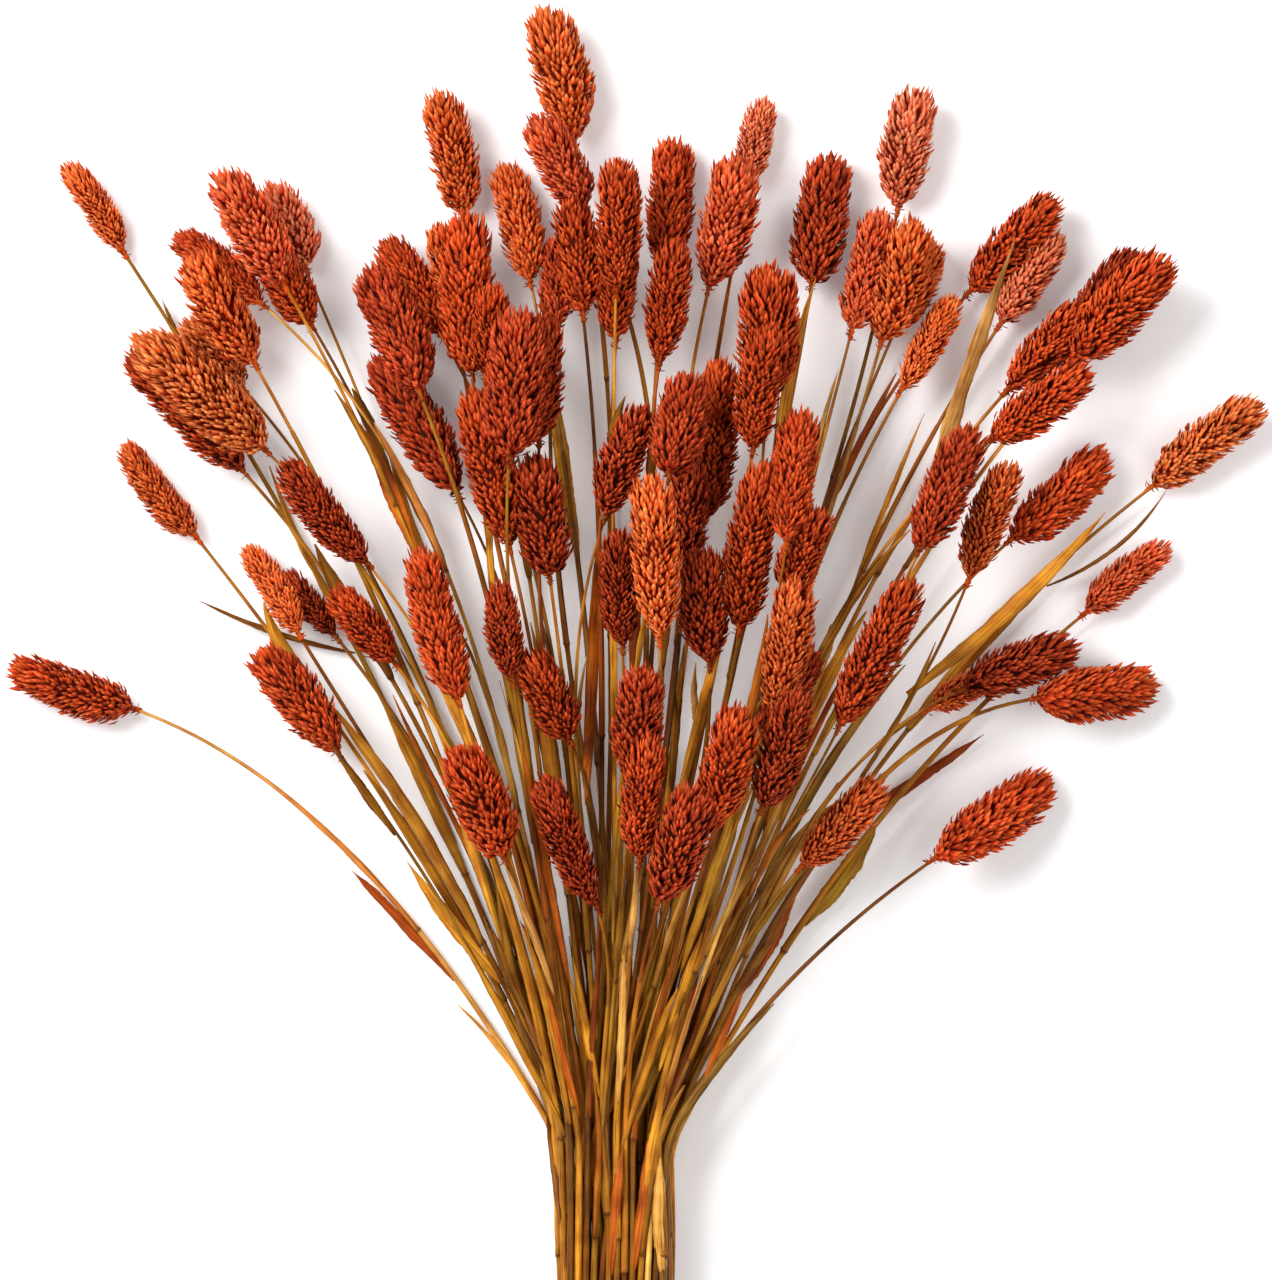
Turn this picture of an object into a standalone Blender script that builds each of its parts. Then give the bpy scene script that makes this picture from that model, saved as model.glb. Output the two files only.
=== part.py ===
"""A bunch of dried canary grass, often sold as bunny tail grass, tied with twine and lying on a surface.

The bunch lies along +Y, heads away from the origin, which is the flat spot under the twine.
The layout is worked out in millimetres, and each mesh is scaled to metres as it is made.
"""

import math

import bmesh
import bpy
import numpy as np
from mathutils import Matrix, Vector

MM = 0.001

# The stems, below the heads
CUT_Y = -55.0  # the cut ends, below the twine at y 0
CUT_STAGGER = 4.0  # how unevenly the ends were cut
NECK_Y = 50.0  # where the stems begin to fan out
CUT_RADIUS = 1.35
TOP_RADIUS = 0.7
STRETCHES, BEND_A_STRETCH = (3, 5), 13.0  # straight stretches up to the head, and degrees for each
TIE_SPACING, NECK_SPACING, CUT_SPACING = 2.3, 2.5, 3.0  # stems side by side in a layer
TIE_PITCH, NECK_PITCH, CUT_PITCH = 3.05, 3.6, 3.6  # layer above layer
NECK_LIFT = 1.8  # the lowest layer's height at the neck
CROSSING = 1.5  # layers cross each other at the neck by this much to the left or right
SPRING = (0.0, 0.004, 0.008, 0.015, 0.013, 0.025)  # rise of each layer past the neck
BOW = 1.5  # how late along its length a lifted stem rises
SEAT = 0.3  # a head's gap to the end of its stem
CLEAR = 0.4  # between pieces that lie over each other
SINK = 5.5  # how far a head presses into the one it rests on
DEEP_ENOUGH = 0.45  # the share of that depth at which two heads hold together
SMALLEST_BODY = 20  # points; less than that is a crumb or a sealed hollow of a union, and no head
BULK = 0.88  # a head's radius where its scales are thick enough to hold together, as a share
DROOP = 0.49  # how steeply a head may hang onto what lies under it
STEEPEST_HEAD = 0.15

# The heads
GIRTH = 1.1  # the scales are a little larger than life
RING_HEIGHTS = (0.06, 0.24, 0.43, 0.62, 0.81)  # rings of scales, as shares of the length
BODY = np.linspace(0.05, 0.93, 13)  # where along a head its girth is measured
SCALES_ROUND = 10  # raised and sunken points in a ring
SCALE_REACH = 0.1  # how far a scale's point leans up the head, as a share of its length
VALLEY = 0.86  # radius between the scales, as a share of the radius at their points

# The leaves
BLADE_THICKNESS = 0.7
BLADE_WIDTHS = (0.35, 0.8, 1.0, 0.9, 0.6, 0.2)  # from root to tip, as shares of the width

# The twine
TWINE_RADIUS = 1.0
TWINE_CLEAR = 0.6
TWINE_PITCH = 2.6
TWINE_TURNS = 3
TWINE_SIDES_A_TURN = 12
TWINE_FLAT = 0.35  # how far the wraps are pressed flat underneath
TWINE_TAIL = ((0.5, 0, 0.3), (5, -2.5, 1.2), (10, -6.5, 0.9), (14, -10, 0.1))  # from the knot, mirrored
KNOT = (2.6, 5.2, 2.0)  # half its width, length and height
KNOT_LIFT = 0.8  # the knot's middle above the wraps' middle line

# The heads, from the lowest in the bunch to the top one.
# Each is where it starts (x, y), where it ends (x, y), and its girth over the scales.
HEADS = (
    (-146, 179, -183, 192, 13.2), (-149, 317, -166, 343, 9.0), (-94, 312, -105, 337, 13.2),
    (-10, 330, -25, 357, 13.8), (40, 338, 45, 363, 10.2), (129, 282, 157, 317, 13.2),
    (162, 246, 195, 271, 13.2), (-113, 276, -130, 295, 12.6), (-92, 295, -104, 315, 13.2),
    (-46, 328, -54, 365, 13.2), (-13, 350, -22, 390, 16.2), (0, 290, 2, 320, 12.0),
    (85, 330, 91, 366, 14.4), (107, 305, 133, 333, 13.8), (118, 275, 141, 300, 12.6),
    (142, 208, 167, 228, 10.8), (-127, 231, -149, 259, 10.2), (-113, 251, -146, 287, 15.0),
    (-107, 301, -133, 322, 11.4), (-48, 293, -53, 325, 12.0), (-26, 308, -34, 343, 12.6),
    (-19, 293, -17, 321, 11.4), (14, 311, 17, 351, 13.2), (28, 306, 37, 345, 15.6),
    (85, 295, 96, 320, 11.4), (116, 295, 134, 322, 12.6), (-85, 201, -101, 220, 8.4),
    (-100, 307, -119, 340, 15.6), (-53, 292, -70, 320, 12.6), (-39, 279, -37, 306, 11.4),
    (-10, 298, -14, 332, 13.8), (0, 305, 1, 344, 13.2), (13, 283, 18, 320, 12.6),
    (59, 307, 65, 346, 15.6), (80, 290, 90, 326, 15.0), (137, 283, 166, 315, 16.2),
    (95, 179, 115, 190, 9.0), (-106, 257, -144, 291, 18.0), (-109, 283, -128, 316, 15.0),
    (-48, 244, -72, 285, 15.0), (-43, 280, -45, 328, 16.2), (-23, 260, -21, 297, 12.0),
    (-3, 237, 9, 270, 13.2), (26, 236, 32, 284, 13.8), (41, 257, 46, 294, 12.6),
    (71, 293, 80, 329, 12.6), (86, 275, 102, 303, 9.6), (113, 260, 142, 281, 13.2),
    (105, 185, 139, 198, 13.8), (-96, 202, -112, 228, 9.6), (-75, 223, -100, 253, 12.0),
    (-59, 274, -74, 311, 16.2), (-32, 228, -43, 275, 14.4), (-20, 219, -25, 255, 15.0),
    (2, 198, 1, 233, 11.4), (21, 223, 23, 253, 12.6), (45, 272, 46, 312, 18.0),
    (37, 203, 45, 253, 13.8), (91, 227, 107, 263, 13.8), (119, 230, 148, 256, 14.4),
    (127, 182, 163, 186, 16.2), (-84, 166, -108, 197, 14.4), (-67, 193, -85, 215, 11.4),
    (-31, 188, -35, 217, 10.8), (-32, 254, -29, 299, 18.0), (16, 249, 22, 279, 15.6),
    (13, 200, 10, 249, 13.8), (28, 193, 26, 227, 13.8), (52, 212, 61, 239, 12.6),
    (46, 167, 59, 197, 12.6), (67, 174, 89, 218, 13.8), (106, 218, 119, 253, 12.0),
    (-47, 182, -59, 227, 13.8), (-14, 170, -27, 196, 13.2), (7, 134, 10, 171, 12.0),
    (51, 229, 56, 268, 13.2), (47, 178, 54, 218, 13.2), (44, 150, 55, 185, 13.2),
    (56, 132, 80, 157, 12.6), (-34, 135, -48, 168, 16.2), (-6, 120, -22, 159, 12.0),
    (5, 158, 8, 192, 14.4), (13, 122, 24, 156, 15.0), (27, 143, 37, 180, 14.4),
    (96, 134, 131, 158, 15.6),
)
LAYER_SIZES = (14, 15, 15, 14, 14, 13)

# Each leaf is its root, its bend and its tip (x, y each), and its width.
LEAVES = (
    (-62, 225, -67, 243, -77, 265, 4.8), (-50, 97, -66, 117, -80, 130, 3.6),
    (-35, 95, -50, 113, -63, 133, 4.8), (-66, 141, -76, 155, -86, 169, 3.6),
    (-81, 195, -104, 200, -127, 212, 1.8), (91, 181, 127, 214, 147, 238, 4.8),
    (70, 142, 88, 155, 111, 171, 4.2), (55, 115, 71, 129, 79, 146, 6.6),
    (91, 241, 103, 273, 120, 320, 6.6), (66, 211, 79, 236, 93, 268, 2.1),
    (138, 205, 154, 225, 166, 245, 1.5), (55, 235, 61, 262, 67, 281, 2.1),
    (45, 256, 52, 283, 60, 308, 4.5), (-13, 223, -17, 256, -21, 287, 5.4),
    (22, 170, 23, 182, 24, 193, 3.0), (39, 92, 48, 108, 55, 128, 5.4),
    (16, 75, 20, 92, 27, 110, 6.6), (-17, 88, -22, 102, -29, 115, 3.6),
    (54, 175, 61, 188, 66, 201, 3.0), (-130, 284, -133, 293, -137, 302, 1.5),
    (-57, 304, -61, 313, -65, 322, 1.5),
)


class Obstacles:
    """Straight stretches of what already lies there.

    Each is flat for some distance to both sides of its line and rounded beyond that. A leaf is flat
    and thin, and a stem or a head is only round.
    """

    def __init__(self):
        self.starts, self.ends, self.rounds, self.flats = [], [], [], []
        self.is_head, self.layers = [], []

    def add(self, points, rounds, flats, is_head, layer):
        for i in range(len(points) - 1):
            self.starts.append(points[i])
            self.ends.append(points[i + 1])
            self.rounds.append(max(rounds[i], rounds[i + 1]))
            self.flats.append(max(flats[i], flats[i + 1]))
            self.is_head.append(is_head)
            self.layers.append(layer)

    def rest_heights(self, plan, rounds, flats, gap, chosen):
        """The lowest height at which each point of a plan line lies gap clear of the chosen ones."""
        lowest = np.array(rounds, float)
        if not np.any(chosen):
            return lowest
        starts, ends = np.array(self.starts)[chosen], np.array(self.ends)[chosen]
        along = (ends - starts)[:, :2]
        from_start = plan[:, None] - starts[None, :, :2]
        share = (from_start * along).sum(-1) / (along**2).sum(-1)
        share = np.clip(share, 0, 1)
        away = np.linalg.norm(from_start - share[..., None] * along, axis=-1)
        away = np.maximum(0, away - np.array(flats)[:, None] - np.array(self.flats)[chosen])
        reach = np.maximum(lowest[:, None] + np.array(self.rounds)[chosen] + gap, 0.1)
        height = starts[:, 2] + share * (ends - starts)[:, 2]
        over = height + np.sqrt(np.maximum(reach**2 - away**2, 0))
        over[away >= reach] = 0
        return np.maximum(lowest, over.max(axis=1))


def head_layers():
    """The heads layer by layer, and in each from left to right as the stems fan out."""
    layers, first = [], 0
    for size in LAYER_SIZES:
        heads = HEADS[first:first + size]
        layers.append(sorted(heads, key=lambda head: math.atan2(head[0], head[1] - NECK_Y)))
        first += size
    return layers


def slot_places(layer, slot):
    """A stem's cut end and its places at the twine and at the neck, before the bundle is raised."""
    step = slot - (LAYER_SIZES[layer] - 1) / 2
    level = layer - (len(LAYER_SIZES) - 1) / 2
    shear = CROSSING if layer % 2 else -CROSSING
    stagger = CUT_STAGGER * math.sin(7 * slot + 3 * layer)
    cut = (step * CUT_SPACING - shear, CUT_Y + stagger, level * CUT_PITCH)
    tie = (step * TIE_SPACING, 0.0, level * TIE_PITCH)
    neck = (step * NECK_SPACING + shear, NECK_Y, layer * NECK_PITCH + NECK_LIFT)
    return np.array(cut), np.array(tie), np.array(neck)


def tied_places():
    """Each stem's place under the outer wraps, seen along the bunch, and its mirror image."""
    places = []
    for layer, size in enumerate(LAYER_SIZES):
        for slot in range(size):
            cut, tie, neck = slot_places(layer, slot)
            for end in (cut, neck):
                share = TWINE_TURNS * TWINE_PITCH / 2 / abs(end[1])
                aside = tie[0] + (end[0] - tie[0]) * share
                places += [(aside, tie[2]), (-aside, tie[2])]
    return np.array(places)


def wrap_corners(sides):
    """The corners of a wrap's middle line, drawn tight round the stems and seen along the bunch."""
    ways = math.pi / 2 + np.arange(sides + 1) * math.tau / sides
    faced = np.stack([np.cos(ways), np.sin(ways)], axis=1)
    reach = (faced @ tied_places().T).max(axis=1) + CUT_RADIUS + TWINE_CLEAR + TWINE_RADIUS
    return np.array([np.linalg.solve(faced[i:i + 2], reach[i:i + 2]) for i in range(sides)])


def wrap_height():
    """How far the wraps' middle line is above and below the middle of the bundle."""
    return (len(LAYER_SIZES) - 1) / 2 * TIE_PITCH + CUT_RADIUS + TWINE_CLEAR + TWINE_RADIUS


def bundle_height():
    return wrap_height() + TWINE_RADIUS - TWINE_FLAT


def wound_line(sides):
    """The twine's middle line, wound round the stems from the knot on top and back to it."""
    top = [(0, wrap_height())]
    wraps = np.vstack([top] + [wrap_corners(sides)] * TWINE_TURNS + [top])
    run = np.concatenate([[0], np.cumsum(np.linalg.norm(np.diff(wraps, axis=0), axis=1))])
    y = (run / run[-1] - 0.5) * TWINE_TURNS * TWINE_PITCH
    return np.column_stack([wraps[:, 0], y, wraps[:, 1] + bundle_height()])


def unit(vector):
    return vector / np.linalg.norm(vector)


def plan_route(tie, neck, base, tip):
    """The stem's bends past the neck, seen from above: a smooth curve that meets the head end to end."""
    lean = unit(tip - base)
    end = base - lean * SEAT
    distance = np.linalg.norm(end - neck)
    leave = unit(unit(neck - tie) * 0.35 + unit(end - neck) * 0.65)
    controls = (neck, neck + leave * distance * 0.33, end - lean * distance * 0.33, end)
    bend = math.degrees(math.acos(min(1, float(leave @ lean))))
    stretches = max(STRETCHES[0], min(STRETCHES[1], math.ceil(bend / BEND_A_STRETCH)))
    route = []
    for i in range(stretches + 1):
        t = i / stretches
        weights = ((1 - t) ** 3, 3 * t * (1 - t) ** 2, 3 * t * t * (1 - t), t**3)
        route.append(sum(w * c for w, c in zip(weights, controls)))
    return np.array(route)


def sampled(points, times):
    """More points along a line of straight stretches, with their distance from its start."""
    lengths = np.linalg.norm(np.diff(points[:, :2], axis=0), axis=1)
    marks = np.concatenate([[0], np.cumsum(lengths)])
    wanted = np.linspace(0, marks[-1], times)
    return np.stack([np.interp(wanted, marks, points[:, i]) for i in (0, 1)], axis=1), wanted


def girth_at(share):
    """A head's outline: round below, widest a third of the way up, then narrowing to a blunt tip."""
    if share < 0.25:
        return math.sqrt(1 - (1 - share / 0.25) ** 2 * 0.85)
    return 1 - 0.5 * ((share - 0.25) / 0.75) ** 2.4


def settle_stem(layer, slot, head, obstacles):
    """Lowers one stem and its head onto what lies there, and adds them to it."""
    cut, tie, neck = slot_places(layer, slot)
    cut[2] += bundle_height()
    tie[2] += bundle_height()
    base, tip = np.array(head[:2], float), np.array(head[2:4], float)
    radius = head[4] / 2 * GIRTH
    route = plan_route(tie[:2], neck[:2], base, tip)
    stem_plan, run = sampled(route, 60)
    length = run[-1]
    stem_radii = CUT_RADIUS + (TOP_RADIUS - CUT_RADIUS) * run / length
    head_line = base + (tip - base) * BODY[:, None]
    head_run = np.linalg.norm(head_line - base, axis=1)
    head_radii = np.array([radius * girth_at(share) for share in BODY])
    heads = np.array(obstacles.is_head, bool)
    own_layer = np.array(obstacles.layers) == layer
    other_stems = ~heads & ~own_layer
    thin, narrow = np.zeros(60), np.zeros(len(BODY))
    stem_rest = obstacles.rest_heights(stem_plan, stem_radii, thin, CLEAR, heads | other_stems)
    head_rest = obstacles.rest_heights(head_line, head_radii, narrow, CLEAR, ~heads)
    pressed = obstacles.rest_heights(head_line, head_radii, narrow, -SINK, heads)
    nearly = obstacles.rest_heights(head_line, head_radii, narrow, -SINK * DEEP_ENOUGH, heads)
    apart = obstacles.rest_heights(head_line, head_radii, narrow, CLEAR, heads)

    def stem_heights(lift):
        return neck[2] + SPRING[layer] * run + lift * (run / length) ** BOW

    def first_clear(head_floor):
        lift = 0.0
        while True:
            stem = stem_heights(lift)
            if np.all(stem[1:] >= stem_rest[1:]):
                for nod in np.arange(-DROOP, STEEPEST_HEAD, 0.01):
                    top = stem[-1] + nod * head_run
                    if np.all(top >= head_floor):
                        return stem, top, nod
            lift += 0.2

    stem, top, nod = first_clear(np.maximum(head_rest, pressed))
    if not np.any(top < nearly) and np.any(top < apart):
        stem, top, nod = first_clear(np.maximum(head_rest, apart))
    route_run = np.concatenate([[0], np.cumsum(np.linalg.norm(np.diff(route, axis=0), axis=1))])
    bends = np.column_stack([route, np.interp(route_run, run, stem)])
    path = np.vstack([cut, tie, bends])
    axis = np.column_stack([head_line, top])
    low_end = np.array([*base, stem[-1]])
    high_end = np.array([*tip, stem[-1] + nod * np.linalg.norm(tip - base)])
    radii = np.interp(route_run, [0, length], [CUT_RADIUS, TOP_RADIUS])
    obstacles.add(bends, radii, np.zeros(len(bends)), False, layer)
    obstacles.add(axis, head_radii, narrow, True, layer)
    return {"layer": layer, "path": path, "base": low_end, "tip": high_end, "radius": radius}


def leaf_owner(leaf, routes):
    """The stem that a leaf grows from, which is the one that passes closest to its root."""
    root = np.array(leaf[:2], float)
    nearest = {}
    for key, route in routes.items():
        line, run = sampled(route, 80)
        nearest[key] = np.linalg.norm(line[:70] - root, axis=1).min()
    return min(nearest, key=nearest.get)


def settle_leaf(leaf, stem, obstacles):
    """Lowers one leaf onto what lies there. It starts inside its stem and swings out from it."""
    root, bend, tip = (np.array(leaf[i:i + 2], float) for i in (0, 2, 4))
    bends = stem["path"][2:]
    line, run = sampled(bends, 80)
    steps = np.linalg.norm(np.diff(bends[:, :2], axis=0), axis=1)
    heights = np.interp(run, np.concatenate([[0], np.cumsum(steps)]), bends[:, 2])
    nearest = int(np.argmin(np.linalg.norm(line[:70] - root, axis=1)))
    root = line[nearest]
    shares = np.linspace(0, 1, 31)[:, None]
    plan = root * (1 - shares) ** 2 + bend * 2 * shares * (1 - shares) + tip * shares**2
    steps = np.linalg.norm(np.diff(plan, axis=0), axis=1)
    run = np.concatenate([[0], np.cumsum(steps)])
    widths = leaf[6] * np.interp(shares[:, 0], np.linspace(0, 1, len(BLADE_WIDTHS)), BLADE_WIDTHS)
    rounds, flats = np.full(31, BLADE_THICKNESS / 2), widths / 2 - BLADE_THICKNESS / 2
    chosen = np.array(obstacles.is_head, bool) | (np.array(obstacles.layers) != stem["layer"])
    rest = obstacles.rest_heights(plan, rounds, flats, CLEAR, chosen)
    slope = SPRING[stem["layer"]]
    lift = 0.0
    while True:
        top = heights[nearest] + 0.3 + slope * run + lift * (run / run[-1])
        if np.all(top[2:] >= rest[2:]):
            break
        lift += 0.2
    points = np.column_stack([plan, top])
    obstacles.add(points, rounds, flats, False, stem["layer"])
    picked = np.linspace(0, 30, len(BLADE_WIDTHS)).astype(int)
    return {"layer": stem["layer"], "points": points[picked], "widths": widths[picked]}


def settle_bunch():
    """Every stem with its head and leaves, laid down layer by layer and the longest first."""
    routes = {}
    layers = head_layers()
    for layer, heads in enumerate(layers):
        for slot, head in enumerate(heads):
            cut, tie, neck = slot_places(layer, slot)
            base, tip = np.array(head[:2], float), np.array(head[2:4], float)
            routes[layer, slot] = plan_route(tie[:2], neck[:2], base, tip)
    owners = [leaf_owner(leaf, routes) for leaf in LEAVES]
    obstacles = Obstacles()
    stems, leaves = [], []
    for layer, heads in enumerate(layers):
        order = sorted(range(len(heads)), key=lambda i: -math.hypot(heads[i][0], heads[i][1]))
        for slot in order:
            stem = settle_stem(layer, slot, heads[slot], obstacles)
            stems.append(stem)
            grown = [leaf for leaf, owner in zip(LEAVES, owners) if owner == (layer, slot)]
            leaves += [settle_leaf(leaf, stem, obstacles) for leaf in grown]
    return stems, leaves


def clear_scene():
    for obj in list(bpy.data.objects):
        bpy.data.objects.remove(obj)


def make_material(name, colour, roughness):
    material = bpy.data.materials.new(name)
    material.use_nodes = True
    shader = material.node_tree.nodes["Principled BSDF"]
    shader.inputs["Base Color"].default_value = (*colour, 1)
    shader.inputs["Roughness"].default_value = roughness
    shader.inputs["Metallic"].default_value = 0
    return material


def link_mesh(name, mesh, collection):
    obj = bpy.data.objects.new(name, mesh)
    collection.objects.link(obj)
    return obj


def make_tube(name, points, radii, twist, collection):
    """A thin bar along straight stretches, as a mesh with welded caps."""
    curve = bpy.data.curves.new(name, "CURVE")
    curve.dimensions = "3D"
    curve.twist_mode = twist
    curve.bevel_depth = MM
    curve.bevel_resolution = 0
    curve.use_fill_caps = True
    spline = curve.splines.new("POLY")
    spline.points.add(len(points) - 1)
    for point, place, radius in zip(spline.points, points, radii):
        point.co = (*(np.array(place) * MM), 1)
        point.radius = radius
    guide = link_mesh(name + "_line", curve, collection)
    graph = bpy.context.evaluated_depsgraph_get()
    mesh = bpy.data.meshes.new_from_object(guide.evaluated_get(graph))
    bpy.data.objects.remove(guide)
    shape = bmesh.new()
    shape.from_mesh(mesh)
    bmesh.ops.remove_doubles(shape, verts=shape.verts, dist=0.01 * MM)
    bmesh.ops.recalc_face_normals(shape, faces=shape.faces)
    shape.to_mesh(mesh)
    shape.free()
    return link_mesh(name, mesh, collection)


def make_head(name, stem, collection):
    """A sphere whose rings become rows of pointed scales, with every second point sunk between them.

    It is pressed flat where it lies on the surface.
    """
    shape = bmesh.new()
    rings = len(RING_HEIGHTS)
    bmesh.ops.create_uvsphere(shape, u_segments=SCALES_ROUND, v_segments=rings + 1, radius=1)
    base, tip = Vector(stem["base"]), Vector(stem["tip"])
    length = (tip - base).length
    for vertex in shape.verts:
        polar = math.acos(max(-1, min(1, vertex.co.z)))
        ring = round((1 - polar / math.pi) * (rings + 1)) - 1
        if ring < 0 or ring >= rings:
            vertex.co = (0, 0, 0 if ring < 0 else length)
            continue
        turn = math.atan2(vertex.co.y, vertex.co.x)
        segment = math.floor(turn / math.tau * SCALES_ROUND)
        share = RING_HEIGHTS[ring]
        raised = (segment + ring) % 2 == 1
        reach = stem["radius"] * girth_at(share) * (1 if raised else VALLEY)
        height = share + (SCALE_REACH if raised else 0)
        vertex.co = (reach * math.cos(turn), reach * math.sin(turn), height * length)
    turned = (tip - base).to_track_quat("Z", "Y").to_matrix().to_4x4()
    shape.transform(Matrix.Scale(MM, 4) @ Matrix.Translation(base) @ turned)
    for vertex in shape.verts:
        vertex.co.z = max(vertex.co.z, 0)
    bmesh.ops.triangulate(shape, faces=shape.faces)
    mesh = bpy.data.meshes.new(name)
    shape.to_mesh(mesh)
    shape.free()
    return link_mesh(name, mesh, collection)


def make_blade(name, leaf, collection):
    """A flat strip, bent along the leaf's line, made thick and closed."""
    points, widths = leaf["points"], leaf["widths"]
    shape = bmesh.new()
    bmesh.ops.create_grid(shape, x_segments=1, y_segments=len(points) - 1, size=1)
    for vertex in shape.verts:
        i = round((vertex.co.y + 1) / 2 * (len(points) - 1))
        along = points[min(i + 1, len(points) - 1)] - points[max(i - 1, 0)]
        side = Vector((along[1], -along[0], 0)).normalized() * widths[i] / 2
        below = Vector((0, 0, -BLADE_THICKNESS / 2))
        vertex.co = (Vector(points[i]) + side * round(vertex.co.x) + below) * MM
    shape.normal_update()
    bmesh.ops.solidify(shape, geom=shape.faces[:] + shape.edges[:] + shape.verts[:],
                       thickness=BLADE_THICKNESS * MM)
    bmesh.ops.recalc_face_normals(shape, faces=shape.faces)
    bmesh.ops.triangulate(shape, faces=shape.faces)
    mesh = bpy.data.meshes.new(name)
    shape.to_mesh(mesh)
    shape.free()
    return link_mesh(name, mesh, collection)


def make_twine(collection, cutters):
    """Twine wound round the stems and knotted on top, and pressed flat underneath."""
    coil = wound_line(TWINE_SIDES_A_TURN)
    top = bundle_height() + wrap_height()
    pieces = [make_tube("coil", coil, [TWINE_RADIUS] * len(coil), "MINIMUM", collection)]
    for side in (-1, 1):
        tail = [(side * x, y, top + z) for x, y, z in TWINE_TAIL]
        pieces.append(make_tube("tail", tail, [TWINE_RADIUS * 0.9] * len(tail), "MINIMUM", collection))
    knot = bmesh.new()
    bmesh.ops.create_uvsphere(knot, u_segments=8, v_segments=6, radius=1)
    middle = Vector((0, 0, top + KNOT_LIFT))
    placed = Matrix.Translation(middle * MM) @ Matrix.Diagonal((*(Vector(KNOT) * MM), 1))
    knot.transform(placed)
    mesh = bpy.data.meshes.new("knot")
    knot.to_mesh(mesh)
    knot.free()
    pieces.append(link_mesh("knot", mesh, collection))
    twine = join("twine", pieces, collection)
    surface = bmesh.new()
    bmesh.ops.create_cube(surface, size=60 * MM)
    bmesh.ops.translate(surface, verts=surface.verts, vec=(0, 0, -30 * MM))
    mesh = bpy.data.meshes.new("surface")
    surface.to_mesh(mesh)
    surface.free()
    cutter = link_mesh("surface", mesh, cutters)
    cutter.hide_render = True
    cutter.display_type = "WIRE"
    pressed = twine.modifiers.new("Pressed flat", "BOOLEAN")
    pressed.operation = "DIFFERENCE"
    pressed.object = cutter
    pressed.solver = "EXACT"
    return twine


def join(name, pieces, collection):
    """One body of several pieces, by one Boolean union on a collection."""
    first, others = pieces[0], pieces[1:]
    if others:
        group = bpy.data.collections.new(name + "_pieces")
        bpy.context.scene.collection.children.link(group)
        for piece in others:
            for owner in list(piece.users_collection):
                owner.objects.unlink(piece)
            group.objects.link(piece)
        union = first.modifiers.new("Union", "BOOLEAN")
        union.operation = "UNION"
        union.operand_type = "COLLECTION"
        union.collection = group
        union.solver = "EXACT"
        graph = bpy.context.evaluated_depsgraph_get()
        mesh = bpy.data.meshes.new_from_object(first.evaluated_get(graph))
        mesh.name = name
        first.modifiers.clear()
        first.data = mesh
        for piece in others:
            bpy.data.objects.remove(piece)
        bpy.data.collections.remove(group)
    first.name = name
    return first


def split(obj, collection):
    """The separate bodies of an object. Two heads that only brush each other stay apart."""
    shape = bmesh.new()
    shape.from_mesh(obj.data)
    unseen = set(shape.verts)
    bodies = []
    while unseen:
        body, edge = set(), [min(unseen, key=lambda vertex: vertex.index)]
        while edge:
            vertex = edge.pop()
            if vertex not in body:
                body.add(vertex)
                edge += [link.other_vert(vertex) for link in vertex.link_edges]
        unseen -= body
        bodies.append({vertex.index for vertex in body})
    shape.free()
    if len(bodies) == 1:
        return [obj]
    parts = []
    for number, body in enumerate(body for body in bodies if len(body) >= SMALLEST_BODY):
        shape = bmesh.new()
        shape.from_mesh(obj.data)
        others = [vertex for vertex in shape.verts if vertex.index not in body]
        bmesh.ops.delete(shape, geom=others, context="VERTS")
        mesh = bpy.data.meshes.new(f"{obj.name}_{number}")
        shape.to_mesh(mesh)
        shape.free()
        parts.append(link_mesh(f"{obj.name}_{number}", mesh, collection))
    bpy.data.objects.remove(obj)
    return parts


def touching_groups(stems):
    """Heads that press on each other, as lists of stems."""
    group_of = list(range(len(stems)))
    for i, one in enumerate(stems):
        for j in range(i):
            if group_of[i] != group_of[j] and heads_overlap(one, stems[j]):
                old, new = group_of[i], group_of[j]
                group_of = [new if g == old else g for g in group_of]
    return [[stems[i] for i in range(len(stems)) if group_of[i] == g] for g in sorted(set(group_of))]


def heads_overlap(one, other):
    first = one["base"] + (one["tip"] - one["base"]) * BODY[:, None]
    second = other["base"] + (other["tip"] - other["base"]) * BODY[:, None]
    girths = np.array([girth_at(share) for share in BODY])
    apart = np.linalg.norm(first[:, None] - second[None], axis=-1)
    bulk = (one["radius"] * girths[:, None] + other["radius"] * girths[None]) * BULK
    return bool(np.any(apart < bulk))


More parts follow.
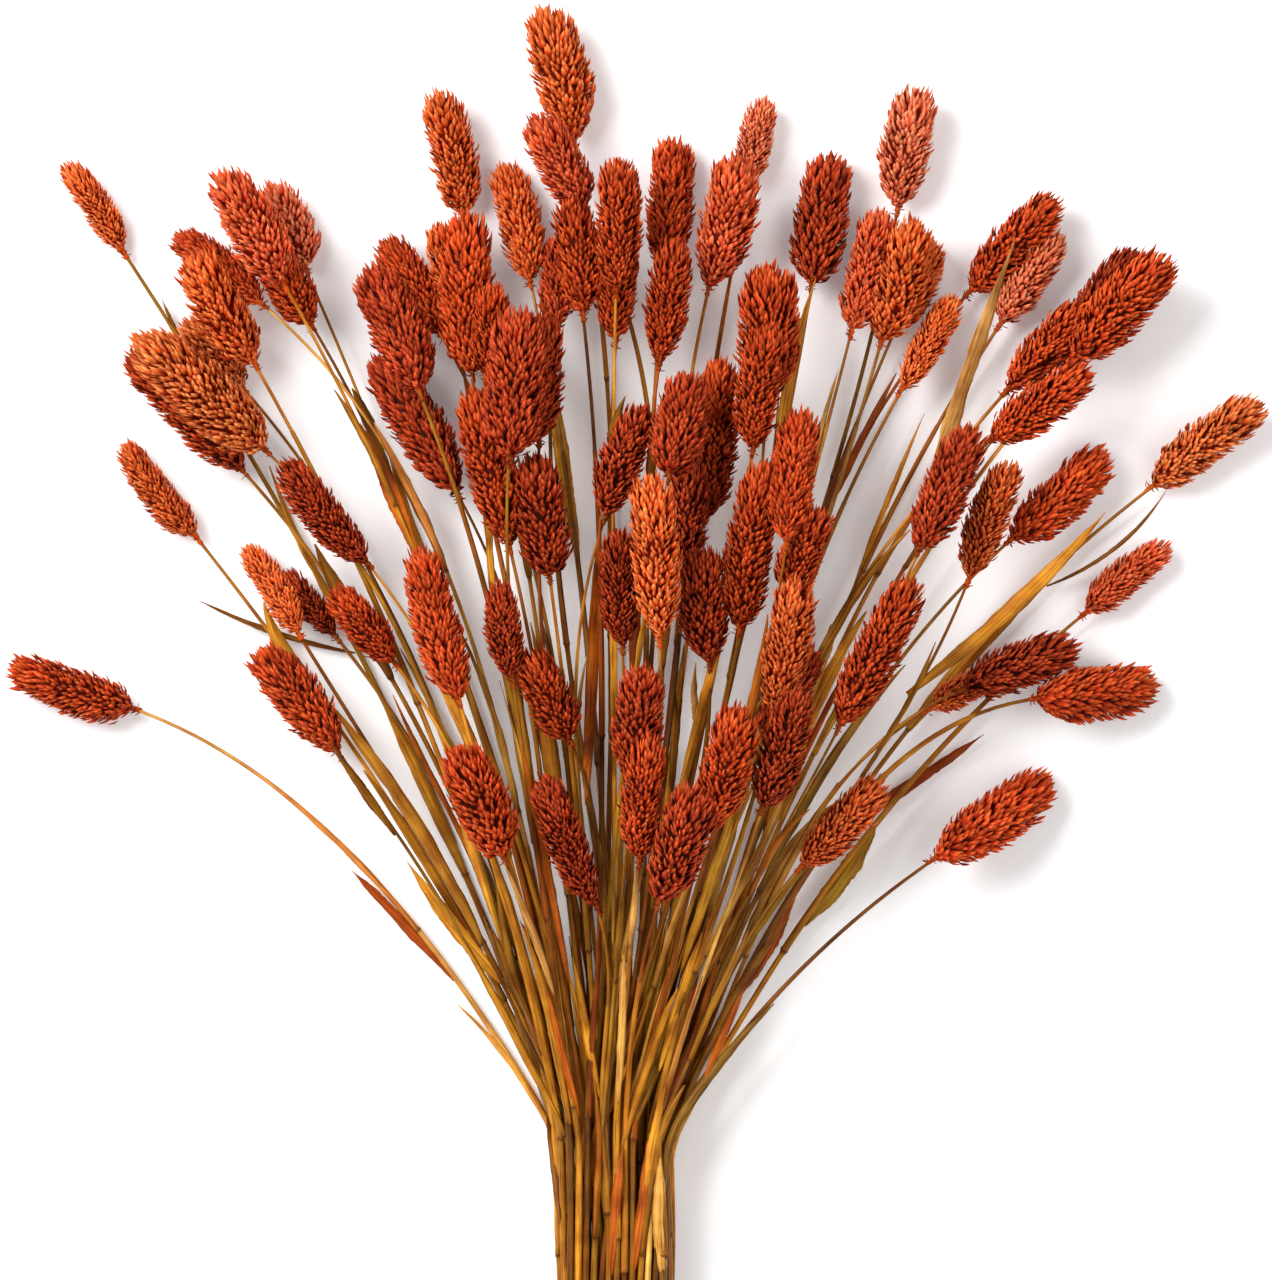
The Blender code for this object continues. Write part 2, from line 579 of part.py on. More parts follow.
def main():
    clear_scene()
    bunch = bpy.data.collections.new("dried_grass_bunch")
    cutters = bpy.data.collections.new("cutters")
    bpy.context.scene.collection.children.link(bunch)
    bpy.context.scene.collection.children.link(cutters)
    head_material = make_material("dyed_heads", (0.52, 0.10, 0.03), 0.85)
    stem_material = make_material("dried_stems", (0.48, 0.27, 0.07), 0.6)
    twine_material = make_material("jute_twine", (0.42, 0.30, 0.17), 0.9)
    stems, leaves = settle_bunch()
    for layer in range(len(LAYER_SIZES)):
        pieces = []
        for i, stem in enumerate(s for s in stems if s["layer"] == layer):
            taper = np.linspace(CUT_RADIUS, TOP_RADIUS, len(stem["path"]) - 2)
            radii = [CUT_RADIUS, CUT_RADIUS, *taper]
            pieces.append(make_tube(f"stem_{layer}_{i}", stem["path"], radii, "Z_UP", bunch))
        for i, leaf in enumerate(s for s in leaves if s["layer"] == layer):
            pieces.append(make_blade(f"leaf_{layer}_{i}", leaf, bunch))
        row = join(f"stems_layer_{layer + 1}", pieces, bunch)
        row.data.materials.clear()
        row.data.materials.append(stem_material)
    clusters = []
    for number, group in enumerate(touching_groups(stems)):
        heads = [make_head(f"head_{number}_{i}", stem, bunch) for i, stem in enumerate(group)]
        clusters += split(join(f"group_{number}", heads, bunch), bunch)
    for number, cluster in enumerate(clusters):
        cluster.name = f"heads_{number + 1:02d}"
        cluster.data.materials.clear()
        cluster.data.materials.append(head_material)
    twine = make_twine(bunch, cutters)
    twine.data.materials.clear()
    twine.data.materials.append(twine_material)


main()
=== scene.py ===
"""The looks of a bunch of dried canary grass, lying on a pale surface and seen from above.

The bunch is laid down by the same rule as its solids. Each head gets a core with small overlapping
scales, each stem its nodes and leaf sheaths, each leaf its curl, and the twine its strands.
Lengths are in millimetres, and each mesh is scaled to metres as it is made.
"""

import math

import bpy
import numpy as np
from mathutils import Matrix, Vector


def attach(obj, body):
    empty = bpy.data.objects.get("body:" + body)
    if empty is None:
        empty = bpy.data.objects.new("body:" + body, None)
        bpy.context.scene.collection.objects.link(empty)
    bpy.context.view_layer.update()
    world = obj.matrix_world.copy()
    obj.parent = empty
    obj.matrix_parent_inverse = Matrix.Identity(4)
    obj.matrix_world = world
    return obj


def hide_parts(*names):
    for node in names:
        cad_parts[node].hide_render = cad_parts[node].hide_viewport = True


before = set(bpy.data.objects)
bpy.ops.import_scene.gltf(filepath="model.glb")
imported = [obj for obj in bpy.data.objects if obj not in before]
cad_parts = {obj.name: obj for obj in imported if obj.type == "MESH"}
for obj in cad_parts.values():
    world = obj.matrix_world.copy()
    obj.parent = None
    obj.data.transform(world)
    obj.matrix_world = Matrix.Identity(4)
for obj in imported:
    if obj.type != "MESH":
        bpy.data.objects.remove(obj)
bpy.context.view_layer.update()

MM = 0.001
UP, FORWARD = (0, 0, 1.0), (0, 1.0, 0)

# The bunch, as in its solids: cut, tied at y = 0, and fanned out past the neck
CUT_Y, CUT_STAGGER = -55.0, 4.0
NECK_Y, NECK_LIFT = 50.0, 1.8
CUT_RADIUS, TOP_RADIUS = 1.35, 0.7
STRETCHES, BEND_A_STRETCH = (3, 5), 13.0
TIE_SPACING, NECK_SPACING, CUT_SPACING = 2.3, 2.5, 3.0
TIE_PITCH, NECK_PITCH, CUT_PITCH = 3.05, 3.6, 3.6
CROSSING = 1.5
# How steeply each layer rises, and how stems bow and heads nod to clear what lies below
SPRING = (0.0, 0.004, 0.008, 0.015, 0.013, 0.025)
BOW, LIFT_STEP = 1.5, 0.2
DROOP, STEEPEST_HEAD, NOD_STEP = 0.49, 0.15, 0.01
# A stem's end inside its head, the gap to others, and how deep heads press on each other
SEAT, CLEAR, SINK, DEEP_ENOUGH = 0.3, 0.4, 5.5, 0.45
GIRTH, BODY = 1.1, np.linspace(0.05, 0.93, 13)
STEM_POINTS, BLADE_POINTS = 60, 31
# Of these points along a stem, a leaf grows from one of the first
ROOT_POINTS, ROOT_FIRST = 80, 70
BLADE_THICKNESS = 0.7
BLADE_WIDTHS = (0.35, 0.8, 1.0, 0.9, 0.6, 0.2)
TWINE_RADIUS, TWINE_CLEAR, TWINE_FLAT = 1.0, 0.6, 0.35
TWINE_TURNS, TWINE_PITCH = 3, 2.6
TWINE_TAIL = ((0.5, 0, 0.3), (5, -2.5, 1.2), (10, -6.5, 0.9), (14, -10, 0.1))

# Where along the bunch the stems cross each other
CROSS_START, CROSS_END, CROSS_SPREAD = 6.0, 88.0, 3.0
# The culms from cut end to head, and the share of loose sheaths
CULM_RADII, CULM_SIDES, LOOSE_SHARE = (1.36, 0.92, 0.47), 8, 0.7
# A head's core, and its scales where its radius is 7 mm. The crown is what the tip's scales add.
CORE, CORE_SIDES = 0.72, 12
MIDDLE_RADIUS, SIZES = 7, (0.76, 1.12)
SCALE_WIDTH, SCALE_SPACING, SCALE_LENGTHS = 0.78, 1.55, (4.1, 5.2)
SCALE_ROLL, CROWN = 0.35, 1.3
# The twine's strands: their radius, their distance from its middle and the length of a twist
STRAND_RADIUS, STRAND_OFF, STRAND_TWIST = 0.55, 0.5, 5.2
# The lowest that scales and blades reach
FLOOR_GAP = 0.02

# The heads, from the lowest in the bunch to the top one.
# Each is where it starts (x, y), where it ends (x, y), and its girth over the scales.
HEADS = (
    (-146, 179, -183, 192, 13.2), (-149, 317, -166, 343, 9.0), (-94, 312, -105, 337, 13.2),
    (-10, 330, -25, 357, 13.8), (40, 338, 45, 363, 10.2), (129, 282, 157, 317, 13.2),
    (162, 246, 195, 271, 13.2), (-113, 276, -130, 295, 12.6), (-92, 295, -104, 315, 13.2),
    (-46, 328, -54, 365, 13.2), (-13, 350, -22, 390, 16.2), (0, 290, 2, 320, 12.0),
    (85, 330, 91, 366, 14.4), (107, 305, 133, 333, 13.8), (118, 275, 141, 300, 12.6),
    (142, 208, 167, 228, 10.8), (-127, 231, -149, 259, 10.2), (-113, 251, -146, 287, 15.0),
    (-107, 301, -133, 322, 11.4), (-48, 293, -53, 325, 12.0), (-26, 308, -34, 343, 12.6),
    (-19, 293, -17, 321, 11.4), (14, 311, 17, 351, 13.2), (28, 306, 37, 345, 15.6),
    (85, 295, 96, 320, 11.4), (116, 295, 134, 322, 12.6), (-85, 201, -101, 220, 8.4),
    (-100, 307, -119, 340, 15.6), (-53, 292, -70, 320, 12.6), (-39, 279, -37, 306, 11.4),
    (-10, 298, -14, 332, 13.8), (0, 305, 1, 344, 13.2), (13, 283, 18, 320, 12.6),
    (59, 307, 65, 346, 15.6), (80, 290, 90, 326, 15.0), (137, 283, 166, 315, 16.2),
    (95, 179, 115, 190, 9.0), (-106, 257, -144, 291, 18.0), (-109, 283, -128, 316, 15.0),
    (-48, 244, -72, 285, 15.0), (-43, 280, -45, 328, 16.2), (-23, 260, -21, 297, 12.0),
    (-3, 237, 9, 270, 13.2), (26, 236, 32, 284, 13.8), (41, 257, 46, 294, 12.6),
    (71, 293, 80, 329, 12.6), (86, 275, 102, 303, 9.6), (113, 260, 142, 281, 13.2),
    (105, 185, 139, 198, 13.8), (-96, 202, -112, 228, 9.6), (-75, 223, -100, 253, 12.0),
    (-59, 274, -74, 311, 16.2), (-32, 228, -43, 275, 14.4), (-20, 219, -25, 255, 15.0),
    (2, 198, 1, 233, 11.4), (21, 223, 23, 253, 12.6), (45, 272, 46, 312, 18.0),
    (37, 203, 45, 253, 13.8), (91, 227, 107, 263, 13.8), (119, 230, 148, 256, 14.4),
    (127, 182, 163, 186, 16.2), (-84, 166, -108, 197, 14.4), (-67, 193, -85, 215, 11.4),
    (-31, 188, -35, 217, 10.8), (-32, 254, -29, 299, 18.0), (16, 249, 22, 279, 15.6),
    (13, 200, 10, 249, 13.8), (28, 193, 26, 227, 13.8), (52, 212, 61, 239, 12.6),
    (46, 167, 59, 197, 12.6), (67, 174, 89, 218, 13.8), (106, 218, 119, 253, 12.0),
    (-47, 182, -59, 227, 13.8), (-14, 170, -27, 196, 13.2), (7, 134, 10, 171, 12.0),
    (51, 229, 56, 268, 13.2), (47, 178, 54, 218, 13.2), (44, 150, 55, 185, 13.2),
    (56, 132, 80, 157, 12.6), (-34, 135, -48, 168, 16.2), (-6, 120, -22, 159, 12.0),
    (5, 158, 8, 192, 14.4), (13, 122, 24, 156, 15.0), (27, 143, 37, 180, 14.4),
    (96, 134, 131, 158, 15.6),
)
LAYER_SIZES = (14, 15, 15, 14, 14, 13)
TOP_LAYER = len(LAYER_SIZES) - 1

# Each head's colour: orange, rust, dark, coral, golden or scarlet. It is partly the dye each head took
# and partly painted light
# and shade: heads low in the bunch get more of the brighter coral, golden and scarlet colours, and those
# in the upper layers more of the dark one.
DYES_AND_PAINTED_LIGHT = (
    "rocscdggroorcr" "rsorroodrsocdsr" "rrrrdorogodrddr" "rsordoddrdddrr" "drrrrdddodrdro"
    "rrrrodordddrr"
)

# Each leaf is its root, its bend and its tip (x, y each), and its width.
LEAVES = (
    (-62, 225, -67, 243, -77, 265, 4.8), (-50, 97, -66, 117, -80, 130, 3.6),
    (-35, 95, -50, 113, -63, 133, 4.8), (-66, 141, -76, 155, -86, 169, 3.6),
    (-81, 195, -104, 200, -127, 212, 1.8), (91, 181, 127, 214, 147, 238, 4.8),
    (70, 142, 88, 155, 111, 171, 4.2), (55, 115, 71, 129, 79, 146, 6.6),
    (91, 241, 103, 273, 120, 320, 5.4), (66, 211, 79, 236, 93, 268, 2.1),
    (138, 205, 154, 225, 166, 245, 1.5), (55, 235, 61, 262, 67, 281, 2.1),
    (45, 256, 52, 283, 60, 308, 4.5), (-13, 223, -17, 256, -21, 287, 5.4),
    (22, 170, 23, 182, 24, 193, 3.0), (39, 92, 48, 108, 55, 128, 5.4),
    (16, 75, 20, 92, 27, 110, 6.6), (-17, 88, -22, 102, -29, 115, 3.6),
    (54, 175, 61, 188, 66, 201, 3.0), (-130, 284, -133, 293, -137, 302, 1.5),
    (-57, 304, -61, 313, -65, 322, 1.5),
)
# Each leaf's colour: orange, red, gold, brown, olive (v), pale, tan or yellow
LEAF_DYES = "orgbbgrvtgbpgytoropbb"

# Colours, as red, green and blue. The straws' colours are their own. Each head dye has a dark, a middle
# and a bright shade.
# The middle shade is the dye. The dark shade is painted shade, at the roots of the scales and on the
# head's core.
# The bright shade is a painted highlight along the scales' keels. The tips mix the bright and the dark
# shade.
HEAD_DYES_WITH_PAINTED_LIGHT = {
    "o": ((0.165, 0.0070, 0.0004), (0.71, 0.067, 0.006), (0.945, 0.250, 0.066)),
    "r": ((0.085, 0.0034, 0.0004), (0.46, 0.031, 0.004), (0.76, 0.125, 0.027)),
    "d": ((0.045, 0.0018, 0.0004), (0.29, 0.019, 0.004), (0.60, 0.090, 0.024)),
    "c": ((0.200, 0.0140, 0.0040), (0.80, 0.105, 0.034), (0.96, 0.340, 0.170)),
    "g": ((0.160, 0.0085, 0.0008), (0.64, 0.080, 0.008), (0.905, 0.290, 0.088)),
    "s": ((0.170, 0.0080, 0.0015), (0.76, 0.062, 0.014), (0.96, 0.230, 0.085)),
}
STRAWS = {
    "o": (0.52, 0.115, 0.006), "r": (0.38, 0.066, 0.004), "g": (0.70, 0.290, 0.020),
    "b": (0.26, 0.096, 0.005), "v": (0.38, 0.190, 0.012), "p": (0.82, 0.420, 0.090),
    "t": (0.58, 0.290, 0.070), "y": (0.82, 0.390, 0.032),
}
CULM_DYES = "ggggggvvpbbbvo"
SHEATH_DYES = "gggpvbbor"
# The culms of the top layer, from left to right
TOP_CULMS = "bgbgvgogovpgb"
# Broad loose sheaths low on the top stems: each one's start and end (x, y each), its width and colour
TOP_SHEATHS = (
    (-1.6, 7.5, 2, 47, 4.4, "o"), (4.5, 7, 9.5, 49, 4.2, "o"), (14.3, 6, 13.4, 44, 5.4, "p"),
    (5.7, 54, 20.5, 94, 4.2, "v"), (-11, 56, -20.6, 94, 3.2, "o"), (26, 66, 39, 96, 3, "o"),
    (9, 32, 15, 66, 3.4, "g"), (-16.5, 22, -21, 58, 3, "b"), (-5, 62, -13, 104, 3.4, "g"),
    (0.5, 60, 2.5, 108, 3, "p"), (13, 70, 26, 112, 3.6, "g"), (19.5, 100, 42, 168, 3.8, "y"),
    (-20, 70, -37, 112, 3.4, "b"), (-9, 150, -4.5, 238, 4.6, "o"), (18, 148, 34, 212, 4, "g"),
    (16.5, 150, 20.5, 198, 3.2, "b"), (-18.5, 93, -33.5, 133, 2.8, "t"),
    (-14, 96, -28.5, 170, 3.2, "o"), (4, 108, 6, 132, 2.6, "t"),
)
HEAD_DYES_WITH_PAINTED_LIGHT, STRAWS = ({letter: np.array(colours) for letter, colours in dyes.items()}
                     for dyes in (HEAD_DYES_WITH_PAINTED_LIGHT, STRAWS))
NODE_COLOUR = np.array([0.13, 0.030, 0.010])
JUTE = np.array([0.40, 0.27, 0.14])

# The stage, in metres: the floor, and each light's name, place, size and power
FLOOR_LEVEL, FLOOR_COLOUR, FLOOR_GLOW = -0.0002, (0.94, 0.94, 0.94, 1), 0.12
LIGHTS = (("key", (-0.95, 0.85, 1.25), 1.0, 37.0), ("fill", (0.9, -0.1, 1.3), 1.2, 9.0))
AIM, AROUND = (0, 0.17, 0.02), 0.44
LENS, SENSOR, PICTURE_WIDTH = 400, 36, 0.384


class Obstacles:
    """Straight stretches of what already lies there, flat to both sides of a line and round beyond."""

    def __init__(self):
        self.starts, self.ends, self.rounds, self.flats = [], [], [], []
        self.is_head, self.layers = [], []

    def add(self, points, rounds, flats, is_head, layer):
        flats = np.broadcast_to(flats, rounds.shape)
        self.starts += list(points[:-1])
        self.ends += list(points[1:])
        self.rounds += list(np.maximum(rounds[:-1], rounds[1:]))
        self.flats += list(np.maximum(flats[:-1], flats[1:]))
        self.is_head += [is_head] * (len(points) - 1)
        self.layers += [layer] * (len(points) - 1)

    def not_stems_of(self, layer):
        return np.array(self.is_head, bool) | (np.array(self.layers) != layer)

    def rest_heights(self, plan, rounds, flats, gap, chosen):
        """The lowest height at which each point of a plan line lies gap clear of the chosen ones."""
        lowest, flats = rounds, np.broadcast_to(flats, rounds.shape)
        if not np.any(chosen):
            return lowest
        starts, ends = np.array(self.starts)[chosen], np.array(self.ends)[chosen]
        along = (ends - starts)[:, :2]
        from_start = plan[:, None] - starts[:, :2]
        share = np.clip((from_start * along).sum(-1) / (along**2).sum(-1), 0, 1)
        away = np.linalg.norm(from_start - share[..., None] * along, axis=-1)
        away = np.maximum(0, away - flats[:, None] - np.array(self.flats)[chosen])
        reach = np.maximum(lowest[:, None] + np.array(self.rounds)[chosen] + gap, 0.1)
        height = starts[:, 2] + share * (ends - starts)[:, 2]
        over = height + np.sqrt(np.maximum(reach**2 - away**2, 0))
        over[away >= reach] = 0
        return np.maximum(lowest, over.max(axis=1))


def head_layers():
    """The heads layer by layer, and in each from left to right as the stems fan out."""
    layers, first = [], 0
    for size in LAYER_SIZES:
        heads = [(np.array(row[:2], float), np.array(row[2:4], float), row[4], dye)
                 for row, dye in zip(HEADS[first:first + size], DYES_AND_PAINTED_LIGHT[first:first + size])]
        layers.append(sorted(heads, key=lambda head: math.atan2(head[0][0], head[0][1] - NECK_Y)))
        first += size
    return layers


def slot_places(layer, slot):
    """A stem's cut end and its places at the twine and at the neck, before the bundle is raised."""
    step = slot - (LAYER_SIZES[layer] - 1) / 2
    level = layer - TOP_LAYER / 2
    shear = CROSSING if layer % 2 else -CROSSING
    stagger = CUT_STAGGER * math.sin(7 * slot + 3 * layer)
    cut = (step * CUT_SPACING - shear, CUT_Y + stagger, level * CUT_PITCH)
    tie = (step * TIE_SPACING, 0.0, level * TIE_PITCH)
    neck = (step * NECK_SPACING + shear, NECK_Y, layer * NECK_PITCH + NECK_LIFT)
    return np.array(cut), np.array(tie), np.array(neck)


def tied_places():
    """Each stem's place under the outer wraps, seen along the bunch, and its mirror image."""
    places = []
    for layer, size in enumerate(LAYER_SIZES):
        for slot in range(size):
            cut, tie, neck = slot_places(layer, slot)
            for end in (cut, neck):
                share = TWINE_TURNS * TWINE_PITCH / 2 / abs(end[1])
                aside = tie[0] + (end[0] - tie[0]) * share
                places += [(aside, tie[2]), (-aside, tie[2])]
    return np.array(places)


def wrap_corners(sides):
    """The corners of a wrap's middle line, drawn tight round the stems and seen along the bunch."""
    ways = math.pi / 2 + np.arange(sides + 1) * math.tau / sides
    faced = np.stack([np.cos(ways), np.sin(ways)], axis=1)
    reach = (faced @ tied_places().T).max(axis=1) + CUT_RADIUS + TWINE_CLEAR + TWINE_RADIUS
    return np.array([np.linalg.solve(faced[i:i + 2], reach[i:i + 2]) for i in range(sides)])


def wrap_height():
    """How far the wraps' middle line is above and below the middle of the bundle."""
    return TOP_LAYER / 2 * TIE_PITCH + CUT_RADIUS + TWINE_CLEAR + TWINE_RADIUS


def bundle_height():
    return wrap_height() + TWINE_RADIUS - TWINE_FLAT


def wound_line(sides):
    """The twine's middle line, wound round the stems from the knot on top and back to it."""
    top = [(0, wrap_height())]
    wraps = np.vstack([top] + [wrap_corners(sides)] * TWINE_TURNS + [top])
    run = distances(wraps)
    y = (run / run[-1] - 0.5) * TWINE_TURNS * TWINE_PITCH
    return np.column_stack([wraps[:, 0], y, wraps[:, 1] + bundle_height()])


def linked(name, data):
    """A new object in the scene."""
    obj = bpy.data.objects.new(name, data)
    bpy.context.scene.collection.objects.link(obj)
    return obj


def set_inputs(node, values):
    for name, value in values.items():
        node.inputs[name].default_value = value


def unit(vectors):
    return vectors / np.linalg.norm(vectors, axis=-1, keepdims=True)


def plan_controls(tie, neck, base, tip):
    """The four points that shape a stem past the neck, seen from above, and its stretches."""
    lean = unit(tip - base)
    end = base - lean * SEAT
    distance = np.linalg.norm(end - neck)
    leave = unit(unit(neck - tie) * 0.35 + unit(end - neck) * 0.65)
    bend = math.degrees(math.acos(min(1, float(leave @ lean))))
    stretches = max(STRETCHES[0], min(STRETCHES[1], math.ceil(bend / BEND_A_STRETCH)))
    return (neck, neck + leave * distance * 0.33, end - lean * distance * 0.33, end), stretches


def on_curve(controls, count):
    t = np.linspace(0, 1, count)[:, None]
    a, b, c, d = controls
    return a * (1 - t) ** 3 + b * 3 * t * (1 - t) ** 2 + c * 3 * t * t * (1 - t) + d * t**3


def plan_route(tie, neck, base, tip):
    controls, stretches = plan_controls(tie, neck, base, tip)
    return on_curve(controls, stretches + 1)


def distances(points):
    return np.concatenate([[0], np.cumsum(np.linalg.norm(np.diff(points, axis=0), axis=1))])


def points_at(wanted, marks, points):
    """Places at the wanted distances along a line whose own points are at the marks."""
    return np.stack([np.interp(wanted, marks, column) for column in points.T], axis=1)


def smoothed(line, times):
    for _ in range(times):
        line[1:-1] = line[:-2] * 0.25 + line[1:-1] * 0.5 + line[2:] * 0.25
    return line


def sampled(points, times):
    """More points along a line of straight stretches, with their distance from its start."""
    marks = distances(points[:, :2])
    wanted = np.linspace(0, marks[-1], times)
    return points_at(wanted, marks, points[:, :2]), wanted


def girth_at(share):
    """A head's outline: round below, widest a third of the way up, then narrowing to a blunt tip."""
    if share < 0.25:
        return math.sqrt(1 - (1 - share / 0.25) ** 2 * 0.85)
    return 1 - 0.5 * ((share - 0.25) / 0.75) ** 2.4


def settle_stem(layer, slot, head, route, obstacles):
    """Lowers one stem and its head onto what lies there, and adds them to it."""
    cut, tie, neck = slot_places(layer, slot)
    cut[2] += bundle_height()
    tie[2] += bundle_height()
    base, tip, girth, dye = head
    radius = girth / 2 * GIRTH
    stem_plan, run = sampled(route, STEM_POINTS)
    length = run[-1]
    stem_radii = CUT_RADIUS + (TOP_RADIUS - CUT_RADIUS) * run / length
    head_line = base + (tip - base) * BODY[:, None]
    head_run = np.linalg.norm(head_line - base, axis=1)
    head_radii = np.array([radius * girth_at(share) for share in BODY])
    heads = np.array(obstacles.is_head, bool)
    stem_rest = obstacles.rest_heights(stem_plan, stem_radii, 0, CLEAR, obstacles.not_stems_of(layer))

    def head_heights(gap, chosen):
        return obstacles.rest_heights(head_line, head_radii, 0, gap, chosen)

    head_rest, pressed = head_heights(CLEAR, ~heads), head_heights(-SINK, heads)
    nearly, apart = head_heights(-SINK * DEEP_ENOUGH, heads), head_heights(CLEAR, heads)

    def stem_heights(lift, places):
        return neck[2] + SPRING[layer] * places + lift * (places / length) ** BOW

    def first_clear(head_floor):
        lift = 0.0
        while True:
            stem = stem_heights(lift, run)
            if np.all(stem[1:] >= stem_rest[1:]):
                for nod in np.arange(-DROOP, STEEPEST_HEAD, NOD_STEP):
                    top = stem[-1] + nod * head_run
                    if np.all(top >= head_floor):
                        return lift, stem, top, nod
            lift += LIFT_STEP

    lift, stem, top, nod = first_clear(np.maximum(head_rest, pressed))
    if not np.any(top < nearly) and np.any(top < apart):
        lift, stem, top, nod = first_clear(np.maximum(head_rest, apart))
    route_run = distances(route)
    bends = np.column_stack([route, np.interp(route_run, run, stem)])
    axis = np.column_stack([head_line, top])
    low_end = np.array([*base, stem[-1]])
    high_end = np.array([*tip, stem[-1] + nod * np.linalg.norm(tip - base)])
    radii = np.interp(route_run, [0, length], [CUT_RADIUS, TOP_RADIUS])
    obstacles.add(bends, radii, 0, False, layer)
    obstacles.add(axis, head_radii, 0, True, layer)
    smooth = on_curve(plan_controls(tie[:2], neck[:2], base, tip)[0], STEM_POINTS + 1)
    smooth_run = distances(smooth)
    smooth_run *= length / smooth_run[-1]
    line = np.column_stack([smooth, stem_heights(lift, smooth_run)])
    return {"layer": layer, "slot": slot, "bends": bends, "line": np.vstack([cut, tie, line]),
            "base": low_end, "tip": high_end, "radius": radius, "girth": girth, "dye": dye}


def leaf_owner(leaf, routes):
    """The stem that a leaf grows from, which is the one that passes closest to its root."""
    def gap(key):
        line, _ = sampled(routes[key], ROOT_POINTS)
        return np.linalg.norm(line[:ROOT_FIRST] - leaf[:2], axis=1).min()

    return min(routes, key=gap)


def settle_leaf(leaf, stem, obstacles):
    """Lowers one leaf onto what lies there. It starts inside its stem and swings out from it."""
    root, bend, tip = (np.array(leaf[i:i + 2], float) for i in (0, 2, 4))
    bends = stem["bends"]
    line, run = sampled(bends, ROOT_POINTS)
    heights = np.interp(run, distances(bends[:, :2]), bends[:, 2])
    nearest = int(np.argmin(np.linalg.norm(line[:ROOT_FIRST] - root, axis=1)))
    root = line[nearest]
    shares = np.linspace(0, 1, BLADE_POINTS)[:, None]
    plan = root * (1 - shares) ** 2 + bend * 2 * shares * (1 - shares) + tip * shares**2
    run = distances(plan)
    widths = leaf[6] * np.interp(shares[:, 0], np.linspace(0, 1, len(BLADE_WIDTHS)), BLADE_WIDTHS)
    rounds, flats = np.full(BLADE_POINTS, BLADE_THICKNESS / 2), widths / 2 - BLADE_THICKNESS / 2
    rest = obstacles.rest_heights(plan, rounds, flats, CLEAR, obstacles.not_stems_of(stem["layer"]))
    slope = SPRING[stem["layer"]]
    lift = 0.0
    while True:
        top = heights[nearest] + 0.3 + slope * run + lift * (run / run[-1])
        if np.all(top[2:] >= rest[2:]):
            break
        lift += LIFT_STEP
    points = np.column_stack([plan, top])
    obstacles.add(points, rounds, flats, False, stem["layer"])
    return {"layer": stem["layer"], "points": points, "widths": widths, "dye": leaf[7]}


def settle_bunch():
    """Every stem with its head and leaves, laid down layer by layer and the longest first."""
    routes = {}
    layers = head_layers()
    for layer, heads in enumerate(layers):
        for slot, (base, tip, _, _) in enumerate(heads):
            _, tie, neck = slot_places(layer, slot)
            routes[layer, slot] = plan_route(tie[:2], neck[:2], base, tip)
    owned = [(leaf_owner(leaf, routes), (*leaf, dye)) for leaf, dye in zip(LEAVES, LEAF_DYES)]
    obstacles = Obstacles()
    stems, leaves = [], []
    for layer, heads in enumerate(layers):
        order = sorted(range(len(heads)), key=lambda i: -math.hypot(*heads[i][0]))
        for slot in order:
            stem = settle_stem(layer, slot, heads[slot], routes[layer, slot], obstacles)
            stems.append(stem)
            leaves += [settle_leaf(leaf, stem, obstacles) for owner, leaf in owned
                       if owner == (layer, slot)]
    return stems, leaves


class Shape:
    """Closed forms that make one piece. Each vertex has a colour and a place in the grain."""

    def __init__(self):
        self.places, self.colours, self.grains = [], [], []
        self.faces = {3: [], 4: []}
        self.count = 0

    def add(self, places, faces, colours, grains):
        for sides, these in faces.items():
            self.faces[sides].append(np.asarray(these) + self.count)
        places = places.reshape(-1, 3)
        self.places.append(places)
        for kept, values in ((self.colours, colours), (self.grains, grains)):
            kept.append(np.broadcast_to(np.reshape(values, (-1, 3)), places.shape))
        self.count += len(places)

    def finish(self, name, material, smooth):
        mesh = bpy.data.meshes.new(name)
        mesh.vertices.add(self.count)
        mesh.vertices.foreach_set("co", (np.concatenate(self.places) * MM).astype(np.float32).ravel())
        corners, starts, first = [], [], 0
        for sides, these in self.faces.items():
            if these:
                these = np.concatenate(these)
                corners.append(these.ravel())
                starts.append(first + np.arange(len(these)) * sides)
                first += these.size
        mesh.loops.add(first)
        mesh.loops.foreach_set("vertex_index", np.concatenate(corners).astype(np.int32))
        starts = np.concatenate(starts).astype(np.int32)
        mesh.polygons.add(len(starts))
        mesh.polygons.foreach_set("loop_start", starts)
        mesh.polygons.foreach_set("use_smooth", np.full(len(starts), smooth))
        # The stored colours, which on the heads' scales include painted shade and a painted highlight
        dye = mesh.attributes.new("dye", "FLOAT_COLOR", "POINT")
        colours = np.column_stack([np.concatenate(self.colours), np.ones(self.count)])
        dye.data.foreach_set("color", colours.astype(np.float32).ravel())
        grain = mesh.attributes.new("grain", "FLOAT_VECTOR", "POINT")
        grain.data.foreach_set("vector", np.concatenate(self.grains).astype(np.float32).ravel())
        mesh.update(calc_edges=True)
        mesh.validate()
        mesh.materials.append(material)
        return linked(name, mesh)


def beside(along, reference=UP):
    """Directions to the side of and above something that runs along a direction."""
    side = unit(np.cross(along, reference))
    return side, np.cross(side, along)


def frames(line, reference=UP):
    """The same two directions for each point of a line."""
    return beside(unit(np.gradient(line, axis=0)), reference)


def turned(side, above, angle):
    """Both directions, turned by an angle in their plane."""
    return side * np.cos(angle) + above * np.sin(angle), above * np.cos(angle) - side * np.sin(angle)


